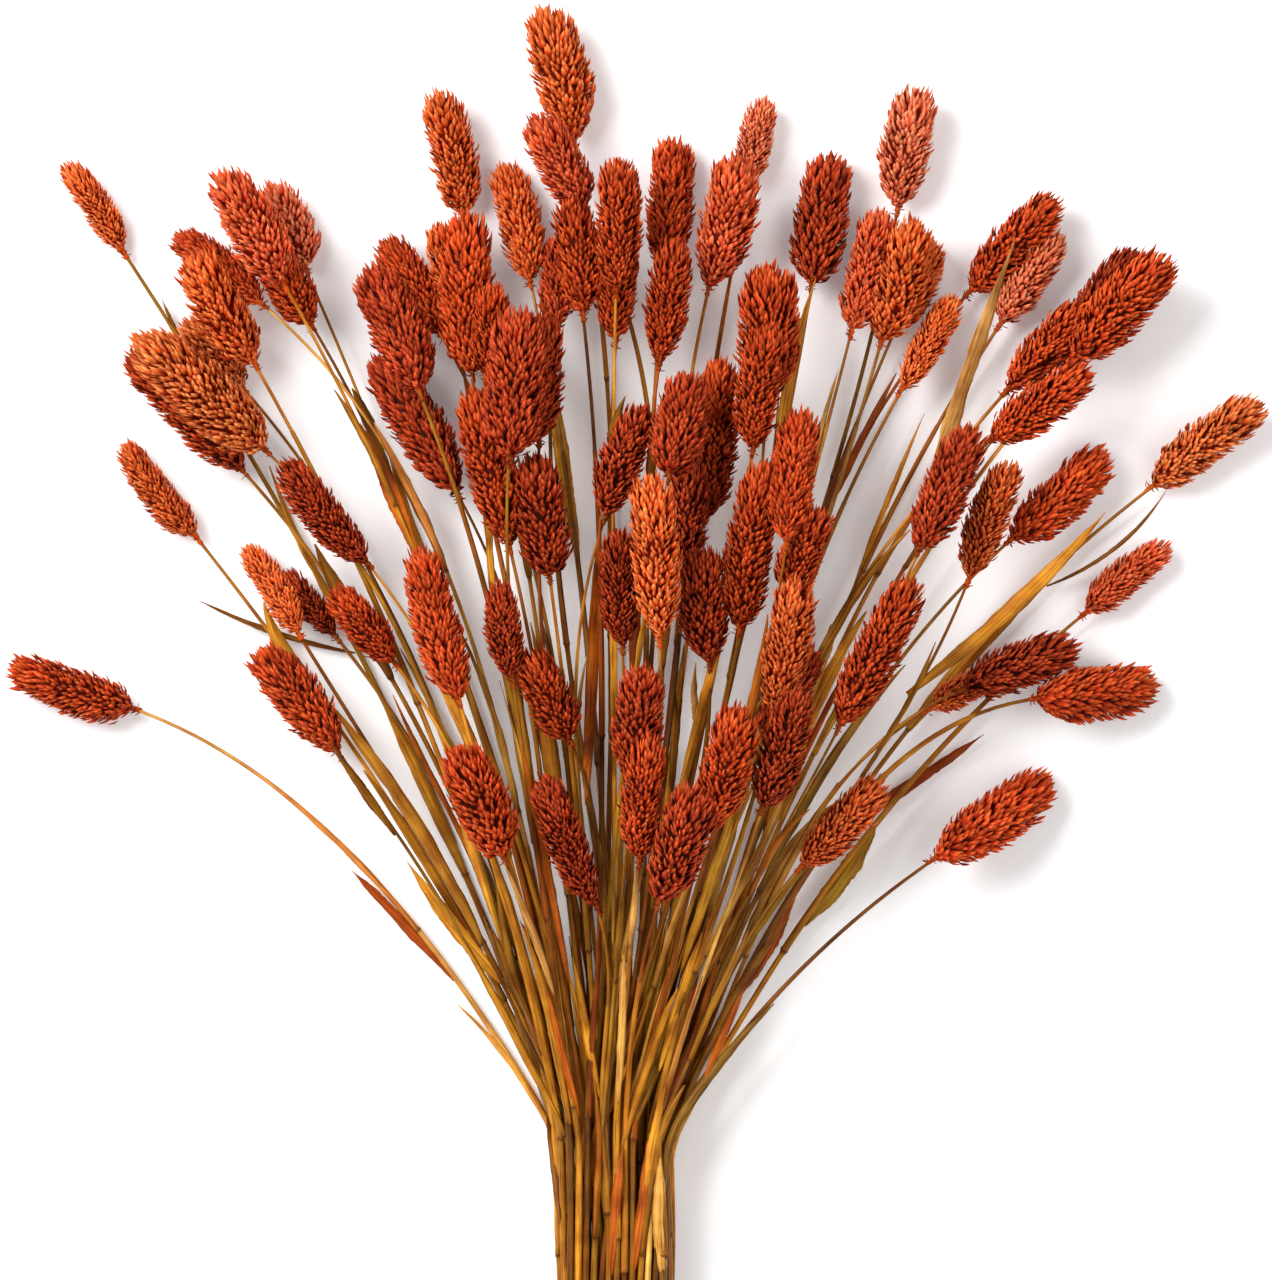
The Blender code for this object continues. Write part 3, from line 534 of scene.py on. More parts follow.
def grain_along(line, seed):
    """How far along the grain each point of a line is. Each piece has a stretch of its own."""
    return (distances(line) * 0.05)[:, None] + seed * 7.3


def ring_faces(count, sides):
    """The faces between each ring of corners and the next."""
    first, ring = (np.arange(count - 1) * sides)[:, None], np.arange(sides)
    here, after = first + ring, first + (ring + 1) % sides
    return np.stack([here, after, after + sides, here + sides], axis=-1).reshape(-1, 4)


def tube_faces(count, sides):
    """The faces of a row of rings, closed at its ends by the two points that follow the rings."""
    ring, last, end = np.arange(sides), (count - 1) * sides, np.full(sides, count * sides)
    after = (ring + 1) % sides
    caps = np.vstack([np.stack([end, after, ring], axis=1),
                      np.stack([end + 1, last + ring, last + after], axis=1)])
    return {4: ring_faces(count, sides), 3: caps}


def add_tube(shape, line, radii, sides, colours, seed, reference=UP, floor=None):
    """A closed tube along a line. radii has a value for each point, or one for each of its corners."""
    count = len(line)
    side, above = frames(line, reference)
    turns = np.arange(sides) / sides * math.tau
    radii = np.asarray(radii, float).reshape(count, -1)
    out = turned(side[:, None], above[:, None], turns[:, None])[0]
    places = (line[:, None] + out * radii[..., None]).reshape(-1, 3)
    places = np.vstack([places, line[0], line[-1]])
    if floor is not None:
        places[:, 2] = np.maximum(places[:, 2], floor)
    grain = np.empty((count, sides, 3))
    grain[..., 0], grain[..., 1] = np.cos(turns) * 1.3, np.sin(turns) * 1.3
    grain[..., 2] = grain_along(line, seed)
    ends = [(0, 0, grain[0, 0, 2]), (0, 0, grain[-1, 0, 2])]
    colours = np.broadcast_to(colours, (count, 3))
    colours = np.vstack([np.repeat(colours, sides, axis=0), colours[[0, -1]]])
    shape.add(places, tube_faces(count, sides), colours, np.vstack([grain.reshape(-1, 3), ends]))


def outline(share, peak, narrowing):
    """A head's outline over the tips of its scales, closed at both ends and widest at its peak."""
    low = (1 - np.maximum(1 - share / peak, 0) ** 2.2) ** 0.75
    high = 1 - narrowing * (np.maximum(share - peak, 0) / (1 - peak)) ** 2.3
    dome = np.sqrt(np.maximum(1 - (np.maximum(share - 0.87, 0) / 0.13) ** 2, 0))
    return low * high * dome


# Each ring of a scale: how far along it is, then its width, keel and bulge as shares of the width
SCALE_RINGS = ((0.42, 1.0, 0.62, 0.32), (0.76, 0.66, 0.50, 0.26))
SCALE_FACES = np.array([
    (0, 2, 1), (0, 3, 2), (0, 1, 3), (7, 4, 5), (7, 5, 6), (7, 6, 4),
    (1, 2, 5), (1, 5, 4), (2, 3, 6), (2, 6, 5), (3, 1, 4), (3, 4, 6),
])
GOLDEN = math.pi * (3 - math.sqrt(5))


def add_scales(shape, roots, toward, across, outward, long, wide, colours, seed):
    """Pointed scales. Each has its root, two rings of left edge, keel and right edge, and its tip."""
    count = len(roots)
    places = np.empty((count, 8, 3))
    places[:, 0], places[:, 7] = roots, roots + toward * long[:, None]
    for i, (at, width, keel, bulge) in enumerate(SCALE_RINGS):
        middle = roots + toward * (long * at)[:, None] + outward * (wide * bulge)[:, None]
        half = across * (wide * width)[:, None]
        places[:, 1 + 3 * i], places[:, 3 + 3 * i] = middle - half, middle + half
        places[:, 2 + 3 * i] = middle + outward * (wide * keel)[:, None]
    places[..., 2] = np.maximum(places[..., 2], FLOOR_GAP)
    faces = (SCALE_FACES + (np.arange(count) * 8)[:, None, None]).reshape(-1, 3)
    grain = np.empty((count, 8, 3))
    grain[..., 0] = np.array([0, -1, 0, 1, -1, 0, 1, 0]) * 1.5
    grain[..., 1] = np.arange(count)[:, None] * 0.77
    grain[..., 2] = np.array([0, *np.repeat([ring[0] for ring in SCALE_RINGS], 3), 1]) * 1.2 + seed
    shape.add(places, {3: faces}, colours, grain)


def scale_colours(dye, count, rng, shade, tip_shade):
    """Painted shade at the root, where the scales overlap, a painted highlight along the keel, brighter
    towards the tip, and no two scales quite alike.
    """
    dark, middle, bright = HEAD_DYES_WITH_PAINTED_LIGHT[dye]
    edge_low, keel_low = dark * 0.6 + middle * 0.4, middle
    edge_high, keel_high = middle * 0.75 + bright * 0.25, bright
    colour = np.array([dark, edge_low, keel_low, edge_low, edge_high, keel_high, edge_high,
                       bright * tip_shade + dark * (1 - tip_shade)])
    tint = rng.normal(1, 0.16, (count, 1, 1)) * shade
    warm = rng.normal(0, 0.12, (count, 1)) * np.array([[0.25, 1, 0.9]])
    return np.clip(colour * tint * (1 + warm[:, None]), 0.001, 0.95)


def add_head(shape, stem, rng, seed):
    """A core in the dye's darkest shade, as painted shade under the scales, and over it pointed keeled
    scales, each a narrow closed blade.
    """
    base, tip = stem["base"], stem["tip"]
    length = np.linalg.norm(tip - base)
    axis = (tip - base) / length
    side, above = beside(axis)
    radius = stem["girth"] / 2 * 1.05
    size = min(SIZES[1], max(SIZES[0], radius / MIDDLE_RADIUS))
    bow = side * rng.uniform(-1.3, 1.3) + above * rng.uniform(-0.5, 0.5)
    peak, narrowing = rng.uniform(0.3, 0.5), rng.uniform(0.26, 0.44)

    def centre(z):
        share = np.asarray(z / length)[..., None]
        return base + axis * np.asarray(z)[..., None] + bow * (4 * share * (1 - share))

    shade, tip_shade = rng.uniform(0.85, 1.15), rng.uniform(0.35, 0.95)
    # The core, darker than the dye's dark shade: painted shade under the scales
    rings, turns = np.linspace(0.03, 0.9, CORE_SIDES), np.arange(CORE_SIDES) / CORE_SIDES * math.tau
    core_radii = radius * CORE * outline(rings / 0.93, peak, narrowing)
    out = turned(side, above, turns[:, None])[0]
    places = centre(rings * length)[:, None] + out * core_radii[:, None, None]
    places = np.vstack([places.reshape(-1, 3), centre(0.01 * length), centre(0.92 * length)])
    colour = HEAD_DYES_WITH_PAINTED_LIGHT[stem["dye"]][0] * 0.8
    shape.add(places, tube_faces(CORE_SIDES, CORE_SIDES), colour, (0, 0, seed))
    # Where the tips of the scales are
    shares = np.linspace(0.02, 1, 240)
    radii = radius * outline(shares, peak, narrowing)
    steps = np.hypot(np.diff(shares) * length, np.diff(radii)) * (radii[1:] + radii[:-1]) / 2
    area = np.concatenate([[0], np.cumsum(steps)]) * math.tau
    spacing = SCALE_SPACING * size
    count = int(area[-1] / spacing**2)
    wanted = (np.arange(count) + 0.5 + rng.uniform(-0.35, 0.35, count)) / count * area[-1]
    share = np.interp(wanted, area, shares)
    z, reach = share * length, np.interp(share, shares, radii)
    turn = np.arange(count) * GOLDEN + rng.normal(0, 0.28 * spacing, count) / np.maximum(reach, 2)
    out, across = turned(side, above, turn[:, None])
    reach = reach + rng.normal(0, 0.55 * size, count) * np.clip(reach / 3, 0, 1)
    tips = centre(z) + out * reach[:, None]
    lean = np.interp(z, [0, 3, 9], [80, 62, 46])
    lean = np.where(share > 0.66, np.interp(share, [0.62, 1], [46, 12]), lean)
    lean = np.radians(lean + rng.normal(0, 7, count))
    long = np.interp(share, [0.6, 0.95], SCALE_LENGTHS) * size * rng.uniform(0.85, 1.15, count)
    long = np.minimum(long, np.maximum((z - 0.4) / np.cos(lean), 2.0 * size))
    toward = turned(axis, out, lean[:, None])[0]
    toward = unit(toward + across * rng.normal(0, 0.13, count)[:, None])
    across = unit(np.cross(toward, np.cross(across, toward)))
    outward = np.cross(across, toward)
    outward *= np.sign((outward * out).sum(1) + 1e-9)[:, None]
    roll = rng.normal(0, SCALE_ROLL, count)
    across, outward = turned(across, outward, roll[:, None])
    wide = SCALE_WIDTH * size * rng.uniform(0.8, 1.2, count)
    # Around the tip some scales stand out further, as a ragged crown
    crown = np.interp(share, [0.74, 1], [0, CROWN]) * size * np.minimum(np.abs(roll) / SCALE_ROLL, 2)
    roots = tips - toward * long[:, None]
    colours = scale_colours(stem["dye"], count, rng, shade, tip_shade)
    add_scales(shape, roots, toward, across, outward, long + crown, wide, colours, seed)


def add_stub(shape, stem, rng, seed):
    """The knotty end of the stem under a head, with a few scales that stayed short and stand off."""
    axis = unit(stem["tip"] - stem["base"])
    side, above = beside(axis)
    marks = np.array([-3.2, -2.4, -1.6, -0.8, 0.0, 0.8, 2.0])
    line = stem["base"] + axis * marks[:, None]
    radii = np.array([0.55, 0.85, 0.65, 0.95, 0.8, 1.3, 0.9]) * (1 + rng.normal(0, 0.08, 7))
    knots = radii[:, None] * (1 + rng.normal(0, 0.12, (7, 7)))
    middle = HEAD_DYES_WITH_PAINTED_LIGHT[stem["dye"]][1] * 0.6 + STRAWS["b"] * 0.4
    add_tube(shape, line, knots, 7, middle, seed)
    count = 7
    turn = rng.uniform(0, math.tau, count)
    out = turned(side, above, turn[:, None])[0]
    toward, outward = turned(axis, out, np.radians(rng.uniform(45, 115, count))[:, None])
    roots = stem["base"] + axis * rng.uniform(-2.6, 0.4, count)[:, None] + out * 0.4
    colours = scale_colours(stem["dye"], count, rng, 0.75, 0.4)
    add_scales(shape, roots, toward, np.cross(toward, outward), outward,
               rng.uniform(1.3, 2.6, count), rng.uniform(0.3, 0.55, count), colours, seed)


def stem_line(stem):
    """The smooth line of a stem from its cut end to just inside its head. Below the neck it crosses
    over or under its neighbours and takes the place of one of them at the twine."""
    marks = distances(stem["line"])
    line = points_at(np.linspace(0, marks[-1], int(marks[-1] / 4)), marks, stem["line"])
    share = np.clip((CROSS_END - line[:, 1]) / (CROSS_END - CROSS_START), 0, 1)
    share = share * share * (3 - 2 * share)
    spacing = np.interp(line[:, 1], [CUT_Y, 0], [CUT_SPACING, TIE_SPACING])
    line[:, 0] += stem["places"] * spacing * share
    line[:, 2] += stem["over"] * 4 * share * (1 - share)
    axis = unit(stem["tip"] - stem["base"])
    return np.vstack([smoothed(line, 3), stem["base"] + axis * 1.5])


def upper_side(stem):
    """Points a millimetre apart along the top of a stem."""
    line = stem_line(stem)
    marks = distances(line)
    return points_at(np.arange(0, marks[-1]), marks, line) + (0, 0, 1.1)


def add_stem(shape, stem, rng, seed):
    """A culm with its nodes. From each node a leaf sheath goes up, which clasps the culm or is loose."""
    coarse = stem_line(stem)
    marks = distances(coarse)
    length = marks[-1]
    nodes, place = [], rng.uniform(60, 118)
    while place < length - 60:
        nodes.append(place)
        place += rng.uniform(60, 110)
    ends = [node + (following - node) * rng.uniform(0.55, 0.9)
            for node, following in zip(nodes, nodes[1:] + [length - 15])]
    loose = rng.uniform(0, 1, len(nodes)) < LOOSE_SHARE
    extra = [at + step for at in nodes for step in (-2.0, -1.0, -0.5, 0, 0.5, 1.0, 2.0)]
    extra += [at + step for at in ends for step in (-0.5, 0.5)]
    run = np.unique(np.concatenate([np.arange(0, length, 5.0), [length], extra]))
    run = run[(run >= 0) & (run <= length)]
    line = points_at(run, marks, coarse)
    thick = rng.uniform(0.84, 1.12)
    radii = np.interp(run, [0, length * 0.4, length], CULM_RADII) * thick
    dye = CULM_DYES[rng.integers(len(CULM_DYES))]
    if stem["layer"] == TOP_LAYER:
        dye = TOP_CULMS[stem["slot"]]
    culm = STRAWS[dye] * rng.uniform(0.48, 1.3)
    colours = np.repeat(culm[None], len(run), axis=0)
    in_sheath = np.zeros(len(run), bool)
    sheaths = []
    for node, end, is_loose in zip(nodes, ends, loose):
        sheath = STRAWS[SHEATH_DYES[rng.integers(len(SHEATH_DYES))]] * rng.uniform(0.75, 1.1)
        sheath = sheath * 0.65 + culm * 0.35
        if is_loose:
            sheaths.append((node, end, sheath))
            continue
        clasped = (run > node) & (run < end)
        in_sheath |= clasped
        share = (run[clasped] - node) / (end - node)
        radii[clasped] *= 1.3 - 0.12 * share
        colours[clasped] = sheath * (1 - 0.25 * share[:, None]) + culm * 0.25 * share[:, None]
    for node in nodes:
        near = np.exp(-((run - node) / 0.7) ** 2)
        radii *= 1 + 0.26 * near
        colours += (NODE_COLOUR - colours) * (near * 0.9)[:, None]
        below = np.exp(-np.maximum(node - run, 0) / 6) * (run < node)
        colours *= (1 - 0.25 * below)[:, None]
    shade = np.interp(run, np.linspace(0, length, 12), rng.uniform(0.5, 1.2, 12))
    colours = colours * shade[:, None]
    reddish = np.interp(run, np.linspace(0, length, 8), np.clip(rng.normal(-0.1, 0.3, 8), 0, 0.6))
    colours += (STRAWS["o"] * 0.8 - colours) * reddish[:, None]
    top = HEAD_DYES_WITH_PAINTED_LIGHT[stem["dye"]][1] * 0.5 + culm * 0.5
    blush = np.clip((run - length + 10) / 10, 0, 1)[:, None] * 0.6
    colours = colours + (top - colours) * blush
    turns = np.arange(CULM_SIDES) / CULM_SIDES * math.tau
    ribs = 1 + 0.05 * np.cos(turns * 3 + rng.uniform(0, 6))
    seam = rng.uniform(0, math.tau)
    lap = 0.16 * np.exp(-(np.angle(np.exp(1j * (turns - seam))) / 0.5) ** 2)
    corner_radii = radii[:, None] * ribs + in_sheath[:, None] * lap * radii[:, None]
    add_tube(shape, line, corner_radii, CULM_SIDES, np.clip(colours, 0.003, 0.9), seed, floor=0.0)
    for node, end, sheath in sheaths:
        widest = 4.6 if stem["layer"] > 3 else 6.4
        add_sheath(shape, line, run, radii, node, end, sheath, widest, rng, seed)


def add_sheath(shape, culm, marks, radii, start, end, colour, widest, rng, seed):
    """A loose sheath: a thin open channel on a culm. It widens, then leaves it and ends in a point."""
    at = np.linspace(0, 1, 23)
    run = start + (end - start) * at
    line = points_at(run, marks, culm)
    core = np.interp(run, marks, radii)
    side, above = frames(line)
    roll = rng.uniform(-1.1, 1.1) + at * rng.uniform(-0.6, 0.6)
    side, above = turned(side, above, roll[:, None])
    stand_off = rng.uniform(1.0, 4.5) * np.clip((at - 0.45) / 0.55, 0, 1) ** 2
    line = line + above * (core * 1.1 + 0.15 + stand_off * 0.3)[:, None]
    line = line + side * (stand_off * rng.choice((-1, 1)))[:, None]
    wide = rng.uniform(2.6, widest) * np.interp(
        at, [0, 0.12, 0.35, 0.7, 0.9, 1], [0.6, 0.8, 1, 0.8, 0.35, 0.08])
    wide = np.maximum(wide, core * 2.3 * np.interp(at, [0, 0.4, 0.6], [1, 0.8, 0]))
    curl = np.interp(at, [0, 0.3, 1], [1.7, 1.25, 0.5])
    fade = rng.uniform(0.8, 1.1) * np.interp(at, [0, 0.3, 1], [0.8, 1.0, rng.uniform(0.75, 1.15)])
    add_blade(shape, line, side, above, wide, curl, colour * fade[:, None], 5, rng, seed + 0.5)


def add_leaf(shape, leaf, rng, seed):
    """A dry blade, curled across and twisted along its length."""
    points, widths = leaf["points"], leaf["widths"]
    at, marks = np.linspace(0, 1, 41), np.linspace(0, 1, len(points))
    line = points_at(at, marks, points)
    wavy = 1 + 0.08 * np.sin(at * rng.uniform(12, 20) + rng.uniform(0, 6))
    wide = np.interp(at, marks, widths) * np.interp(at, [0.86, 1], [1, 0.15]) * wavy
    side, above = frames(line)
    twist = rng.uniform(-0.5, 0.5) + at * rng.uniform(-0.9, 0.9)
    side, above = turned(side, above, twist[:, None])
    curl = rng.uniform(0.5, 1.3) * (1 - 0.5 * at)
    fade = np.interp(at, [0, 0.5, 1], [0.8, 1.05, 0.8])[:, None]
    add_blade(shape, line, side, above, wide, curl, STRAWS[leaf["dye"]] * fade, 9, rng, seed)


def add_top_sheath(shape, row, ridge, rng, seed):
    """A loose sheath that lies on the top stems. ridge has the points of all stems' upper sides."""
    at = np.linspace(0, 1, 25)
    start, end = np.array(row[:2]), np.array(row[2:4])
    plan = start + (end - start) * at[:, None]
    plan[:, 0] += rng.uniform(-1, 1) * np.sin(at * math.pi)
    height = np.empty(len(at))
    for i, place in enumerate(plan):
        away = np.abs(ridge[:, :2] - place)
        height[i] = ridge[(away[:, 0] < 1.4) & (away[:, 1] < 2.5), 2].max(initial=0)
    height = np.maximum(height, np.median(height) - 2)
    for _ in range(6):
        height[1:-1] = np.maximum(height[1:-1] - 0.3, (height[:-2] + height[2:]) / 2)
    line = np.column_stack([plan, height + np.interp(at, [0, 0.15], [-1.2, 0.2])])
    side, above = frames(line)
    wide = row[4] * np.interp(at, [0, 0.07, 0.2, 0.4, 0.75, 1], [0.15, 0.6, 0.85, 1, 0.7, 0.06])
    curl = np.interp(at, [0, 0.4, 1], [1.5, 1.1, 0.5])
    fade = np.interp(at, [0, 0.4, 1], [0.85, 1.1, 0.8])[:, None]
    add_blade(shape, line, side, above, wide, curl, STRAWS[row[5]] * fade, 7, rng, seed)


def add_blade(shape, line, side, above, wide, curl, colours, steps, rng, seed):
    """A thin closed strip along a line, curled across, ribbed, and wavy and split at its edges."""
    count = len(line)
    at, u = np.linspace(0, 1, count), np.linspace(-1, 1, steps)
    arc = u * curl[:, None]
    flat, rise = np.sin(arc) / curl[:, None], (1 - np.cos(arc)) / curl[:, None]
    wave = 0.10 * np.sin(at[:, None] * rng.uniform(18, 30) + u * 2) * np.abs(u)
    ribs = 0.05 * np.where(np.arange(steps) % 2, -1, 1)
    ragged = 1 + rng.normal(0, 0.05, (count, steps)) * (np.abs(u) > 0.9)
    middle = (line[:, None] + side[:, None] * (flat * ragged * wide[:, None] / 2)[..., None]
              + above[:, None] * ((wave + ribs - rise) * wide[:, None] / 2)[..., None])
    facing = unit(turned(above[:, None], side[:, None], arc[..., None])[0])
    thick = 0.14 * (1 - 0.4 * np.abs(u))[:, None]
    upper, lower = middle + facing * thick, middle - facing * thick
    places = np.concatenate([upper, lower[:, ::-1]], axis=1)
    places[..., 2] = np.maximum(places[..., 2], FLOOR_GAP)
    around, last = 2 * steps, (count - 1) * 2 * steps
    quads = ring_faces(count, around)[:, [0, 3, 2, 1]]
    lids = []
    for j in range(steps - 1):
        lids.append((j, j + 1, around - 2 - j, around - 1 - j))
        lids.append((last + j, last + around - 1 - j, last + around - 2 - j, last + j + 1))
    rib_shade = 1 + 0.14 * np.where(np.arange(steps) % 2, -1, 1) + rng.normal(0, 0.05, steps)
    rib_shade = np.concatenate([rib_shade, rib_shade[::-1]])[:, None]
    colours = np.clip(colours[:, None] * rib_shade, 0.003, 0.9)
    grain = np.zeros((count, around, 3))
    grain[..., 0] = np.concatenate([u, u[::-1]]) * wide[:, None] * 0.6
    grain[..., 2] = grain_along(line, seed)
    shape.add(places, {4: np.vstack([quads, lids])}, colours, grain)


def add_twine(shape):
    """Three strands twisted round each other: three wraps, a knot on top and two frayed tails."""
    top = bundle_height() + wrap_height()
    wound = wound_line(72)
    marks = distances(wound)
    lines = [points_at(np.linspace(0, marks[-1], TWINE_TURNS * 150), marks, wound)]
    for side in (-1, 1):
        tail = np.array([(side * x, y, top + z) for x, y, z in TWINE_TAIL])
        marks = distances(tail) / distances(tail)[-1]
        lines.append(smoothed(points_at(np.linspace(0, 1, 50), marks, tail), 20))
    t = np.linspace(0, math.tau, 161)
    knot = np.column_stack([np.sin(t) + 2 * np.sin(2 * t), (np.cos(t) - 2 * np.cos(2 * t)) * 1.25,
                            -np.sin(3 * t) * 0.9])
    lines.append(knot * (0.72, 1.1, 0.75) + (0, 0, top + 0.5))
    rng = np.random.default_rng(11)
    for number, line in enumerate(lines):
        reference = UP if number else FORWARD
        side, above = frames(line, reference)
        run = distances(line)
        colours = JUTE * np.interp(run % 17, [0, 8, 17], [0.85, 1.15, 0.85])[:, None]
        for strand in range(3):
            phase = run / STRAND_TWIST * math.tau + strand * math.tau / 3
            twisted = line + turned(side, above, phase[:, None])[0] * STRAND_OFF
            radii = STRAND_RADIUS * (1 + 0.08 * np.sin(run * 3.1 + strand))
            radii = radii * (1 + rng.normal(0, 0.04, len(run)))
            add_tube(shape, twisted, radii, 6, colours, 50 + number * 3 + strand, reference, 0.0)
    for number, line in enumerate(lines[:3]):
        for _ in range(110 if number == 0 else 26):
            at = line[rng.integers(2, len(line) - 2)]
            if at[2] < 2.5:
                continue
            away = unit(rng.normal(0, 1, 3))
            hair = at + away * np.array([0.6, 1.1, 1.7])[:, None] + rng.normal(0, 0.12, (3, 3))
            reference = unit(rng.normal(0, 1, 3))
            add_tube(shape, hair, [0.06, 0.05, 0.02], 3, JUTE * 1.2, 90, reference, 0.0)


def multiply(tree, first, second):
    mix = tree.nodes.new("ShaderNodeMix")
    mix.data_type, mix.blend_type = "RGBA", "MULTIPLY"
    mix.inputs[0].default_value = 1.0
    tree.links.new(first, mix.inputs[6])
    if isinstance(second, bpy.types.NodeSocket):
        tree.links.new(second, mix.inputs[7])
    else:
        mix.inputs[7].default_value = second
    return mix.outputs[2]


def make_noise(tree, vector, scale, detail):
    noise = tree.nodes.new("ShaderNodeTexNoise")
    set_inputs(noise, {"Scale": scale, "Detail": detail})
    tree.links.new(vector, noise.inputs["Vector"])
    return noise.outputs["Fac"]


def make_ramp(tree, value, stops):
    ramp = tree.nodes.new("ShaderNodeValToRGB")
    while len(ramp.color_ramp.elements) < len(stops):
        ramp.color_ramp.elements.new(0.5)
    for element, (place, level) in zip(ramp.color_ramp.elements, stops):
        element.position, element.color = place, (*np.broadcast_to(level, 3), 1)
    tree.links.new(value, ramp.inputs["Fac"])
    return ramp.outputs["Color"]


def make_material(name, streaks, patches, roughness, relief, sheen, specular):
    """A dry plant or fibre surface. Its colour is the one stored at each place: the dye of heads and
    straws, and on the heads also painted shade and a painted highlight. Over it go fine streaks along
    the grain and larger patches, and its relief follows the streaks."""
    material = bpy.data.materials.new(name)
    material.use_nodes = True
    tree = material.node_tree
    shader = tree.nodes["Principled BSDF"]
    dye, grain = (tree.nodes.new("ShaderNodeAttribute") for _ in range(2))
    dye.attribute_name, grain.attribute_name = "dye", "grain"
    place = tree.nodes.new("ShaderNodeTexCoord")
    fine = make_noise(tree, grain.outputs["Vector"], streaks[0], 5)
    broad = make_noise(tree, place.outputs["Object"], patches[0], 3)
    light = make_ramp(tree, fine, ((0.3, streaks[1]), (0.5, 0.8), (0.72, 1.0)))
    tone = make_ramp(tree, broad, ((0.35, patches[1]), (0.65, 1.0)))
    colour = multiply(tree, multiply(tree, dye.outputs["Color"], light), tone)
    lifted = multiply(tree, colour, (1.28, 1.28, 1.28, 1))
    tree.links.new(lifted, shader.inputs["Base Color"])
    rough = make_ramp(tree, fine, ((0.3, min(1, roughness + 0.12)), (0.7, roughness - 0.1)))
    tree.links.new(rough, shader.inputs["Roughness"])
    bump = tree.nodes.new("ShaderNodeBump")
    set_inputs(bump, {"Strength": 0.7, "Distance": relief * MM})
    tree.links.new(fine, bump.inputs["Height"])
    tree.links.new(bump.outputs["Normal"], shader.inputs["Normal"])
    set_inputs(shader, {"Sheen Weight": sheen, "Sheen Roughness": 0.5, "Specular IOR Level": specular})
    return material


def dress(obj, slot, *nodes):
    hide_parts(*nodes)
    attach(obj, "root")


def node_of_heads(stems):
    """Which solid each head belongs to: the one with the most corners round the head's axis."""
    names = sorted(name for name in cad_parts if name.startswith("heads_"))
    corners = [np.array([v.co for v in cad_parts[name].data.vertices]) / MM for name in names]
    owner = np.repeat(np.arange(len(names)), [len(these) for these in corners])
    corners = np.concatenate(corners)
    found = []
    for stem in stems:
        axis = stem["tip"] - stem["base"]
        share = np.clip((corners - stem["base"]) @ axis / (axis @ axis), 0, 1)
        away = np.linalg.norm(corners - stem["base"] - share[:, None] * axis, axis=1)
        found.append(names[np.bincount(owner[away < stem["radius"] * 1.01]).argmax()])
    return found


def cross_over(stems):
    """Which place each stem takes at the twine, and whether it passes over or under its neighbours."""
    for layer, size in enumerate(LAYER_SIZES):
        rng = np.random.default_rng(40 + layer)
        wish = np.arange(size) + rng.normal(0, CROSS_SPREAD, size)
        taken = np.argsort(np.argsort(wish))
        lowest, highest = (-0.9, 0.9) if layer < TOP_LAYER else (-0.6, 2.2)
        over = rng.uniform(lowest, highest, size)
        for stem in stems:
            if stem["layer"] == layer:
                stem["places"] = taken[stem["slot"]] - stem["slot"]
                stem["over"] = over[stem["slot"]]


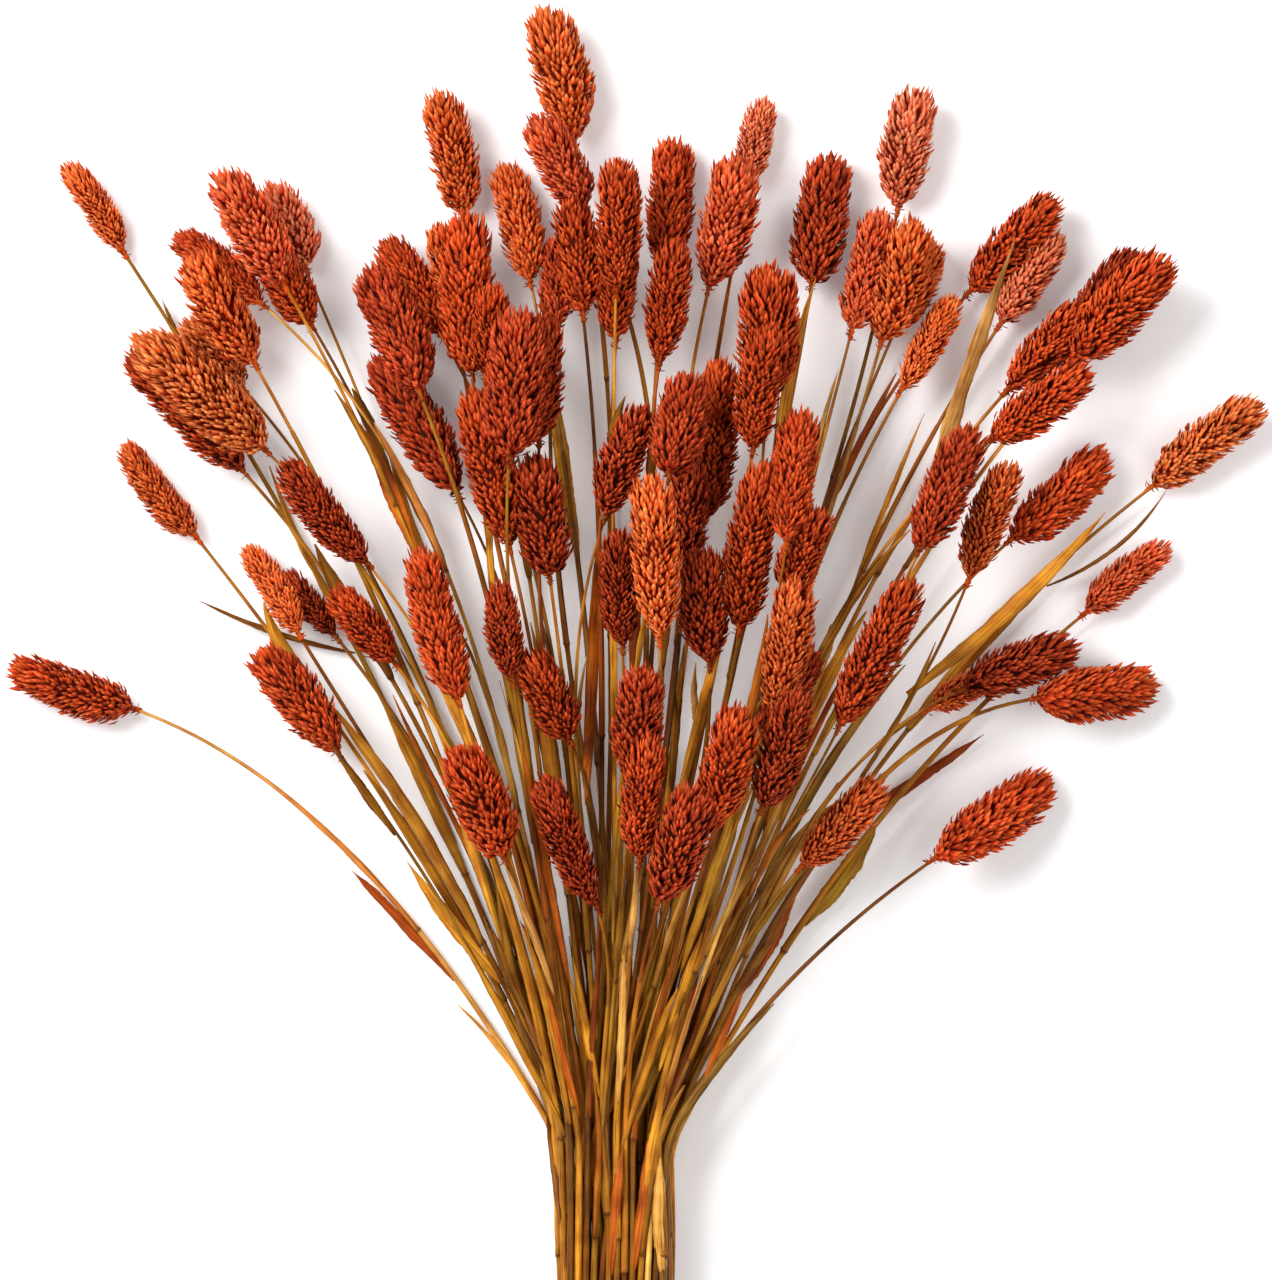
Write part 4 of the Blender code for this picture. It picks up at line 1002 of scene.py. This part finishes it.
def make_stage():
    """A pale floor, a large soft light above and to the left, and an even light all round."""
    mesh = bpy.data.meshes.new("floor")
    mesh.from_pydata([(-3, -3, 0), (3, -3, 0), (3, 3, 0), (-3, 3, 0)], [], [(0, 1, 2, 3)])
    floor = linked("floor", mesh)
    floor.location.z = FLOOR_LEVEL
    material = bpy.data.materials.new("pale_floor")
    material.use_nodes = True
    set_inputs(material.node_tree.nodes["Principled BSDF"], {
        "Base Color": FLOOR_COLOUR, "Roughness": 0.9,
        "Emission Color": (1, 1, 1, 1), "Emission Strength": FLOOR_GLOW,
    })
    mesh.materials.append(material)
    for name, place, size, energy in LIGHTS:
        light = bpy.data.lights.new(name, "AREA")
        light.shape, light.size, light.energy = "SQUARE", size, energy
        lamp = linked(name, light)
        lamp.location = place
        aim = Vector(AIM) - lamp.location
        lamp.rotation_euler = aim.to_track_quat("-Z", "Y").to_euler()
    world = bpy.data.worlds.new("studio")
    world.use_nodes = True
    set_inputs(world.node_tree.nodes["Background"], {"Color": (1, 1, 1, 1), "Strength": AROUND})
    bpy.context.scene.world = world
    bpy.context.scene.view_settings.view_transform = "Standard"


def make_camera():
    """Straight above the bunch, far off with a long lens, heads towards the top of the picture."""
    camera = bpy.data.cameras.new("camera")
    camera.lens, camera.sensor_width = LENS, SENSOR
    height = PICTURE_WIDTH * LENS / SENSOR
    camera.clip_start, camera.clip_end = 0.1, 100
    seen = linked("camera", camera)
    seen.location = (0.006, 0.1995, 0.03 + height)
    bpy.context.scene.camera = seen


def main():
    make_camera()
    make_stage()
    head_material = make_material("dyed_scales_with_painted_light", (1.6, (0.60, 0.48, 0.40)), (130.0, (0.74, 0.64, 0.56)),
                                  0.62, 0.12, 0.0, 0.07)
    straw_material = make_material("dry_straw", (1.5, (0.32, 0.20, 0.10)), (90.0, (0.58, 0.46, 0.34)),
                                   0.45, 0.10, 0.0, 0.13)
    twine_material = make_material("jute", (2.5, 0.5), (300.0, 0.8), 0.9, 0.15, 0.2, 0.2)
    stems, leaves = settle_bunch()
    cross_over(stems)
    clusters = {}
    for number, (stem, node) in enumerate(zip(stems, node_of_heads(stems))):
        shape = clusters.setdefault(node, Shape())
        rng = np.random.default_rng(100 + number)
        add_head(shape, stem, rng, number * 3.7)
        add_stub(shape, stem, rng, number)
    for node, shape in sorted(clusters.items()):
        dress(shape.finish(node + "_scales", head_material, False), "heads", node)
    for layer in range(len(LAYER_SIZES)):
        shape = Shape()
        for number, stem in enumerate(stems):
            if stem["layer"] == layer:
                add_stem(shape, stem, np.random.default_rng(300 + number), number)
        for number, leaf in enumerate(leaves):
            if leaf["layer"] == layer:
                add_leaf(shape, leaf, np.random.default_rng(500 + number), 200 + number)
        if layer == TOP_LAYER:
            ridge = np.concatenate([upper_side(stem) for stem in stems])
            for number, row in enumerate(TOP_SHEATHS):
                add_top_sheath(shape, row, ridge, np.random.default_rng(700 + number), 300 + number)
        node = f"stems_layer_{layer + 1}"
        dress(shape.finish(node + "_culms", straw_material, True), "stems", node)
    shape = Shape()
    add_twine(shape)
    dress(shape.finish("twine_strands", twine_material, True), "twine", "twine")


main()
